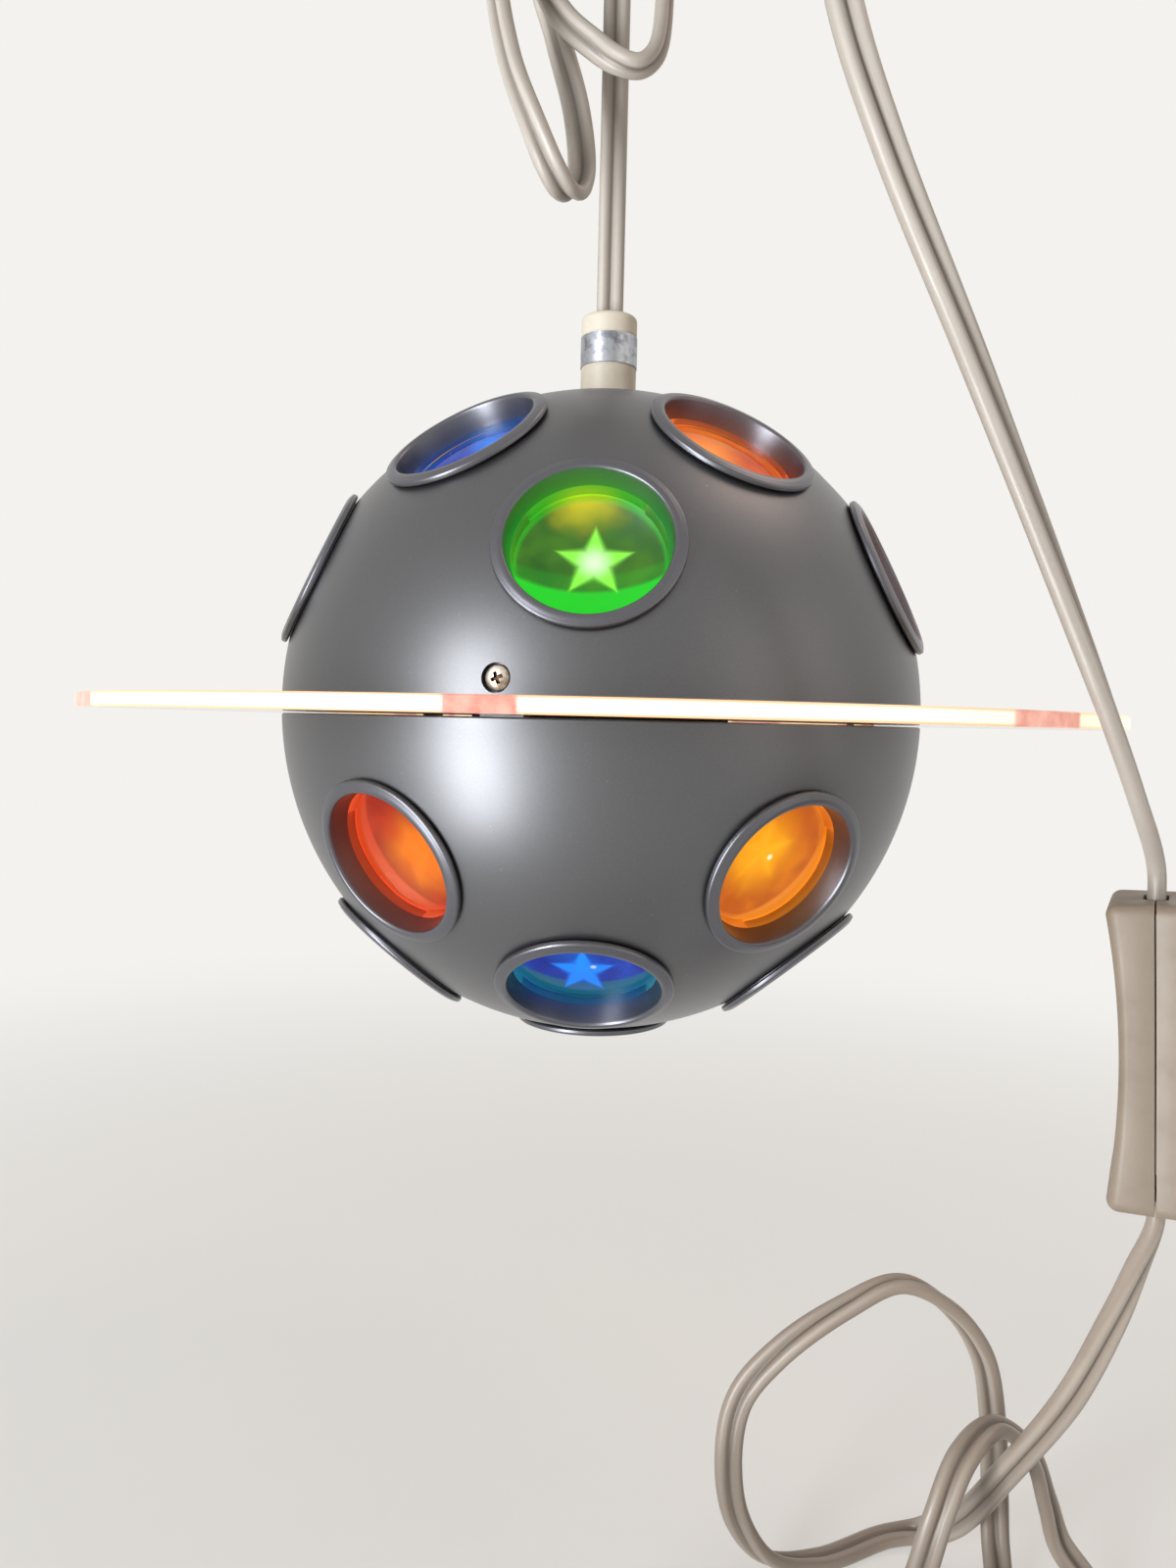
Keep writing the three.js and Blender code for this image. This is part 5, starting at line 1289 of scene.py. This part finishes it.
case_rim = block("rocker_rim", (RIM_THICKNESS, WINDOW_WIDTH + RIM_MARGIN, WINDOW_LENGTH + RIM_MARGIN),
                 (CASE_HALF_DEPTH - RIM_SINK, 0, 0), RIM_ROUNDING, 3)
with_tools(case_rim, [block("rim_bore", (3 * MM, WINDOW_WIDTH, WINDOW_LENGTH), (CASE_HALF_DEPTH, 0, 0),
                            WINDOW_CORNER, 3)])
for piece, node in ((case_back, "switch_case_back"), (case_front, "switch_case_front")):
    finished(dressed(smooth(settled(piece, SWITCH_FRAME)), CASE_PLASTIC), "root", "switch_plastic", node)
finished(dressed(smooth(settled(case_rim, SWITCH_FRAME)), CASE_PLASTIC), "root", "switch_plastic")
for i, screw in enumerate(case_screws):
    screw.name = screw.data.name = f"case_screw_{i + 1}"
    finished(dressed(screw, STEEL), "root", "screw_steel")
print("switch case:", triangles(case_back), "and", triangles(case_front), "triangles")

# %% [markdown]
# The rocker tips on a pin between the cheeks. Its top is dished for the finger. Its underside is deep in the middle,
# round the pin, and shallow at both ends, which dip into the case. A short bar is cut into one end as its mark.

# %% Rocker
SKIRT_STEEPNESS, SKIRT_LEFT = 1.1, 0.2 * MM
MARK_SIZE, MARK_DEPTH, MARK_SHARE = (0.5 * MM, 0.7 * MM, 2.6 * MM), 0.28 * MM, 0.3
rocker = block("rocker_key", (ROCKER_SKIRT, WINDOW_WIDTH - 2 * FIT_GAP, ROCKER_LENGTH),
               (ROCKER_TIP - ROCKER_SKIRT / 2, 0, 0))
bpy.ops.object.mode_set(mode="EDIT")
sliced(ALONG_Z, [(row / ROCKER_ROWS - 0.5) * ROCKER_LENGTH for row in range(1, ROCKER_ROWS)])
bpy.ops.object.mode_set(mode="OBJECT")
for corner in rocker.data.vertices:
    from_middle = abs(corner.co.z) / (ROCKER_LENGTH / 2)
    if corner.co.x > ROCKER_TIP - MM:
        corner.co.x -= ROCKER_DISH * (1 - from_middle ** 2)
    else:
        corner.co.x -= (ROCKER_SKIRT - SKIRT_LEFT) * max(0, 1 - from_middle * SKIRT_STEEPNESS)
rounded(rocker, 0.45 * MM, 3, 40)
rocker_pin = drum("rocker_pin", PIN_RADIUS, WINDOW_WIDTH + RIM_MARGIN - 2 * FIT_GAP, 24, across_case)
with_tools(rocker, [rocker_pin], "UNION")
with_tools(rocker, [block("mark_bar", MARK_SIZE, (ROCKER_TIP - MARK_DEPTH, 0, ROCKER_LENGTH * MARK_SHARE))])
rocker_place = SWITCH_FRAME @ pivot_place @ Matrix.Rotation(math.radians(ROCKER_TILT), 4, "Y")
finished(dressed(smooth(settled(rocker, rocker_place)), ROCKER_PLASTIC), "rocker", "rocker_plastic", "switch_rocker")
print("rocker:", triangles(rocker), "triangles")

# %% [markdown]
# ## Plug
# The plug lies on the surface at the end of the coil: a moulded body with finger grooves, a tapered neck with ribs,
# which keeps the cord from kinking, and two brass blades, each with a round hole near its tip.

# %% Plug body and neck
PLUG_LENGTH, PLUG_WIDTH, PLUG_EDGE = 24 * MM, 21 * MM, 1.5 * MM
NECK_LENGTH, NECK_RADIUS, NECK_TIP = 20 * MM, 5.6 * MM, 4.2 * MM
SHOULDER_SHARE, SHOULDER_DROP, SHOULDER_POWER = 0.62, 0.12, 1.6
GROOVES, GROOVE_SIZE = 4, (1.3 * MM, 12 * MM, 1.2 * MM)
GROOVE_FIRST, GROOVE_PITCH = 9, 2.8  # in millimetres
RIBS = 6
RIB_START, RIB_END, RIB_PITCH = 1.2, 2.9, 2.7  # in millimetres
PLUG_PLASTIC = plastic_finish("plug_plastic", "a69a8a", "6f6050", 0.35, 0.4, 0.55, 1300.0, 0.05 * MM,
                              subsurface_weight=0.08, subsurface_scale=0.003)
plug_frame = (Matrix.Translation(coil_points[-1][0] + lead_away * FIT_GAP)
              @ Matrix.Rotation(coil_end_angle + math.pi / 2, 4, "Z"))
plug_end = NECK_LENGTH + PLUG_LENGTH
plug_body = block("plug_body", (PLUG_LENGTH, PLUG_WIDTH, PLUG_HEIGHT), (NECK_LENGTH + PLUG_LENGTH / 2, 0, 0))
shoulder = PLUG_WIDTH * (1 - SHOULDER_SHARE) / 2
bpy.ops.object.mode_set(mode="EDIT")
sliced(ALONG_X, [NECK_LENGTH + shoulder * 0.5, NECK_LENGTH + shoulder])
bpy.ops.object.mode_set(mode="OBJECT")
for corner in plug_body.data.vertices:
    if corner.co.x < NECK_LENGTH + shoulder - 1e-5:
        back = (NECK_LENGTH + shoulder - corner.co.x) / shoulder
        corner.co.y *= 1 - (1 - SHOULDER_SHARE) * back ** SHOULDER_POWER
        corner.co.z *= 1 - SHOULDER_DROP * back ** SHOULDER_POWER
rounded(plug_body, PLUG_EDGE, 4)
with_tools(plug_body, [block("finger_groove", GROOVE_SIZE,
                             (NECK_LENGTH + (GROOVE_FIRST + GROOVE_PITCH * i) * MM, 0, side * PLUG_HEIGHT / 2),
                             0.35 * MM, 2)
                       for side in (-1, 1) for i in range(GROOVES)])
neck_profile = [(0, 0), (NECK_TIP * 0.92, 0), (NECK_TIP, 0.5 * MM)]
for i in range(RIBS):
    rib_start, rib_end = ((RIB_START + RIB_PITCH * i) * MM, (RIB_END + RIB_PITCH * i) * MM)
    groove_radius = NECK_TIP + (NECK_RADIUS - NECK_TIP) * rib_start / NECK_LENGTH
    neck_profile += [(groove_radius, rib_start), (groove_radius + 0.25 * MM, rib_start + 0.25 * MM),
                     (groove_radius + 0.3 * MM, rib_end - 0.25 * MM), (groove_radius + 0.1 * MM, rib_end),
                     (groove_radius - 0.35 * MM, rib_end + 0.15 * MM), (groove_radius - 0.35 * MM, rib_end + 0.75 * MM)]
neck_profile += [(NECK_RADIUS, NECK_LENGTH - MM), (NECK_RADIUS, NECK_LENGTH + PLUG_EDGE), (0, NECK_LENGTH + PLUG_EDGE)]
plug_neck = settled(turned("plug_neck", neck_profile, 48, closed=False), Matrix.Rotation(math.pi / 2, 4, "Y"))
finished(dressed(smooth(settled(plug_body, plug_frame)), PLUG_PLASTIC), "root", "plug_plastic", "plug")
finished(dressed(smooth(settled(plug_neck, plug_frame)), PLUG_PLASTIC), "root", "plug_plastic")
print("plug:", triangles(plug_body), "and neck:", triangles(plug_neck), "triangles")

# %% Plug blades
BLADE_LENGTH, BLADE_WIDTH, BLADE_THICKNESS, BLADE_SPACING = 17 * MM, 6.3 * MM, 1.5 * MM, 12.7 * MM
BLADE_CORNER, BLADE_HOLE, BLADE_HOLE_INSET = 1.4 * MM, 1.6 * MM, 4.2 * MM
blade_tip = plug_end + BLADE_LENGTH
for side, name in ((-1, "plug_blade_a"), (1, "plug_blade_b")):
    blade = block(name, (BLADE_LENGTH + PLUG_EDGE, BLADE_THICKNESS, BLADE_WIDTH),
                  (plug_end + (BLADE_LENGTH - PLUG_EDGE) / 2, side * BLADE_SPACING / 2, 0))
    bpy.ops.object.mode_set(mode="EDIT")
    select_edges(blade, lambda a, b: min(a.x, b.x) > blade_tip - MM and abs(a.y - b.y) > 1e-6)
    bpy.ops.mesh.bevel(offset=BLADE_CORNER, segments=5, affect="EDGES")
    bpy.ops.object.mode_set(mode="OBJECT")
    hole_place = Matrix.Translation(Vector((blade_tip - BLADE_HOLE_INSET, side * BLADE_SPACING / 2, 0)))
    with_tools(blade, [drum("blade_hole", BLADE_HOLE, 4 * MM, BORE_SIDES, hole_place @ across_case)])
    rounded(blade, EDGE_BREAK)
    finished(dressed(smooth(settled(blade, plug_frame)), BRASS), "root", "plug_brass")

# %% [markdown]
# ## Tie of the coil
# A flat plastic-covered tie is wrapped once round the coil and twisted shut on its outer side. It follows the outline
# of the bundle: a box without its two open sides, whose corners are rounded and whose wall is then thickened. The
# twisted end is a flat strip, cut into steps that each turn a little further.

# %% Coil tie
TIE_TURN, TIE_WIDTH, TIE_THICKNESS = math.radians(205), 4.0 * MM, 0.5 * MM
TIE_EASE, TIE_ROUNDING = 0.9 * MM, 1.6 * MM
TWIST_STEPS, TWIST_LENGTH, TWIST_WIDTH_SHARE, TWIST_HALF_TURNS = 16, 7 * MM, 0.55, 1.6
TWIST_DROP, TWIST_SINK = 4 * MM, 0.4 * MM
tie_inner, tie_outer = COIL_RADIUS - COIL_PITCH * TURNS_IN - CORD_THICKNESS / 2, COIL_RADIUS + CORD_THICKNESS / 2
tie_low, tie_high = TABLE_LEVEL, TABLE_LEVEL + COIL_LAYER_RISE + CORD_WIDTH
tie_size = (tie_outer - tie_inner + TIE_EASE, TIE_WIDTH, tie_high - tie_low + 2 * TIE_THICKNESS)
coil_tie = block("coil_tie", tie_size, ((tie_inner + tie_outer) / 2, 0, (tie_low + tie_high) / 2))
bpy.ops.object.mode_set(mode="EDIT")
select_faces(coil_tie, lambda centre, normal: abs(normal.y) > 0.9)
bpy.ops.mesh.delete(type="FACE")
select_edges(coil_tie, lambda a, b: abs(a.y - b.y) > 1e-6)
bpy.ops.mesh.bevel(offset=TIE_ROUNDING, segments=6, affect="EDGES")
bpy.ops.object.mode_set(mode="OBJECT")
applied(coil_tie, "SOLIDIFY", thickness=TIE_THICKNESS, offset=-1, use_even_offset=True)
tie_place = Matrix.Translation(COIL_PLACE) @ Matrix.Rotation(TIE_TURN, 4, "Z")
twist_height = tie_high - TWIST_DROP
twist = block("tie_twist", (TWIST_LENGTH, TIE_WIDTH * TWIST_WIDTH_SHARE, TIE_THICKNESS * 2),
              (tie_outer + TWIST_LENGTH / 2 - TWIST_SINK, 0, twist_height), 0.15 * MM, 1)
bpy.ops.object.mode_set(mode="EDIT")
sliced(ALONG_X, [tie_outer - TWIST_SINK + TWIST_LENGTH * step / TWIST_STEPS for step in range(1, TWIST_STEPS)])
bpy.ops.object.mode_set(mode="OBJECT")
for corner in twist.data.vertices:
    turn_here = (corner.co.x - tie_outer) / TWIST_LENGTH * TWIST_HALF_TURNS * math.pi
    y, z = corner.co.y, corner.co.z - twist_height
    corner.co.y = y * math.cos(turn_here) - z * math.sin(turn_here)
    corner.co.z = twist_height + y * math.sin(turn_here) + z * math.cos(turn_here)
TIE_PLASTIC = plastic_finish("tie_plastic", "bdb6aa", "8a7f6f", 0.3, 0.35, 0.5, 900.0, 0.03 * MM)
for piece in (coil_tie, twist):
    finished(dressed(smooth(settled(piece, tie_place), 60), TIE_PLASTIC), "root", "cord_plastic")
print("tie round the coil:", triangles(coil_tie), "triangles")

# %% [markdown]
# ## Inside the ball
# The mask, the socket and the bulb hardly show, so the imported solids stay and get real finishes: matt black plastic,
# cream plastic and a frosted bulb that is lit.

# %% Finishes inside the ball
MASK_PLASTIC = plastic_finish("mask_plastic", "2b2a2a", "4a4540", 0.3, 0.6, 0.8, 1200.0, 0.04 * MM)
SOCKET_PLASTIC = plastic_finish("socket_plastic", "e6dfcf", "b4a78c", 0.25, 0.4, 0.6, 1500.0, 0.03 * MM)
bulb_glass, bulb_tree, bulb_shader = new_finish("bulb_glass", roughness=0.3, emission_strength=2.0)
bulb_clouds = noise(bulb_tree, object_place(bulb_tree), 70.0, 2.0)
bulb_colour = mixed(bulb_tree, bulb_clouds, rgb("fff0c8"), rgb("ffe2a4"))
bulb_tree.links.new(bulb_colour, bulb_shader.inputs["Base Color"])
bulb_tree.links.new(bulb_colour, bulb_shader.inputs["Emission Color"])
for node, material in (("star_mask", MASK_PLASTIC), ("lamp_socket", SOCKET_PLASTIC), ("bulb", bulb_glass)):
    dressed(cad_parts[node], material)
print("finishes inside:", MASK_PLASTIC.name, SOCKET_PLASTIC.name, bulb_glass.name)

# %% [markdown]
# ## How the cords ride
# The strand moves with the lamp as it sways, and the rest of the cord stays where it is.

# %% Cords
for piece, body, node in ((cord_strand, "strand", "cord_strand"), (cord_drop, "root", "cord_drop"),
                          (cord_tail, "root", "cord_tail"), (cord_coil, "root", "cord_coil")):
    finished(piece, body, "cord_plastic", node)
print("cords:", ", ".join(piece.name for piece in (cord_strand, cord_drop, cord_tail, cord_coil)))

# %% [markdown]
# ## Floor, light and background
# The lamp is shown over a plain pale floor in an even white studio. A tall soft lamp in front, a little to the left,
# makes the long highlight on the ball. It reaches below the floor, so the floor takes shadows and casts none. The white
# that the camera and the gloss see comes from the world's own colour, and the light that reaches the object is set
# apart from it, so that colours render as they are written. Further out the floor fades into the same white.

# %% Floor
FLOOR_SIZE, FLOOR_LEVEL = 6, TABLE_LEVEL - 0.7 * MM
BACKDROP = rgb("f4f2ee")
FADE_START, FADE_END, FADE_NEAR = 0.2, 0.9, 0.36
floor = settled(start(bpy.ops.mesh.primitive_plane_add, "floor", size=FLOOR_SIZE, location=(0, 0, FLOOR_LEVEL)))
floor_finish, floor_tree, floor_shader = new_finish("pale_floor", roughness=0.8, specular_ior_level=0.0)
floor_place = object_place(floor_tree)
floor_away = vector_maths(floor_tree, "LENGTH", floor_place)[1]
floor_fade = remapped(floor_tree, floor_away, FADE_START, FADE_END, FADE_NEAR, 1.0, smooth=True)
floor_fade = maths(floor_tree, "MULTIPLY", floor_fade, seen_directly(floor_tree))
floor_colour = mixed(floor_tree, noise(floor_tree, floor_place, 6.0, 3.0), rgb("efedea"), rgb("ebe9e5"))
floor_tree.links.new(mixed(floor_tree, floor_fade, floor_colour, rgb("000000")), floor_shader.inputs["Base Color"])
floor_tree.links.new(floor_fade, floor_shader.inputs["Emission Strength"])
floor_shader.inputs["Emission Color"].default_value = BACKDROP
dressed(floor, floor_finish)
floor.visible_shadow = floor.visible_glossy = False
print("floor at", round(FLOOR_LEVEL, 4))

# %% World
WORLD_LIGHT = 0.37
world = bpy.data.worlds.new("studio")
SCENE.world = world
world.use_nodes = True
sky = world.node_tree
background = sky.nodes["Background"]
background.inputs["Color"].default_value = BACKDROP
sky.links.new(remapped(sky, seen_directly(sky), 0.0, 1.0, WORLD_LIGHT, 1.0), background.inputs["Strength"])
print("world's light on the lamp:", WORLD_LIGHT)

# %% Lamps
LAMPS = (
    ("front_lamp", mm(-610, -760, -310), 0.3, 1.0, 17.0, (0.93, 0.96, 1.0)),
    ("side_lamp", mm(950, -450, 0), 0.9, 0.9, 1.6, (1.0, 0.86, 0.76)),
    ("top_lamp", mm(510, 145, 664), 0.35, 0.35, 1.4, (1.0, 0.74, 0.62)),
)
for name, place, width, height, power, colour in LAMPS:
    data = bpy.data.lights.new(name, "AREA")
    data.shape, data.size, data.size_y = "RECTANGLE", width, height
    data.energy, data.color = power, colour
    lamp = bpy.data.objects.new(name, data)
    SCENE.collection.objects.link(lamp)
    facing = (BALL_CENTRE - place).to_track_quat("-Z", "Y").to_matrix().to_4x4()
    lamp.matrix_world = Matrix.Translation(place) @ facing
print("lamps:", ", ".join(name for name, *_ in LAMPS))
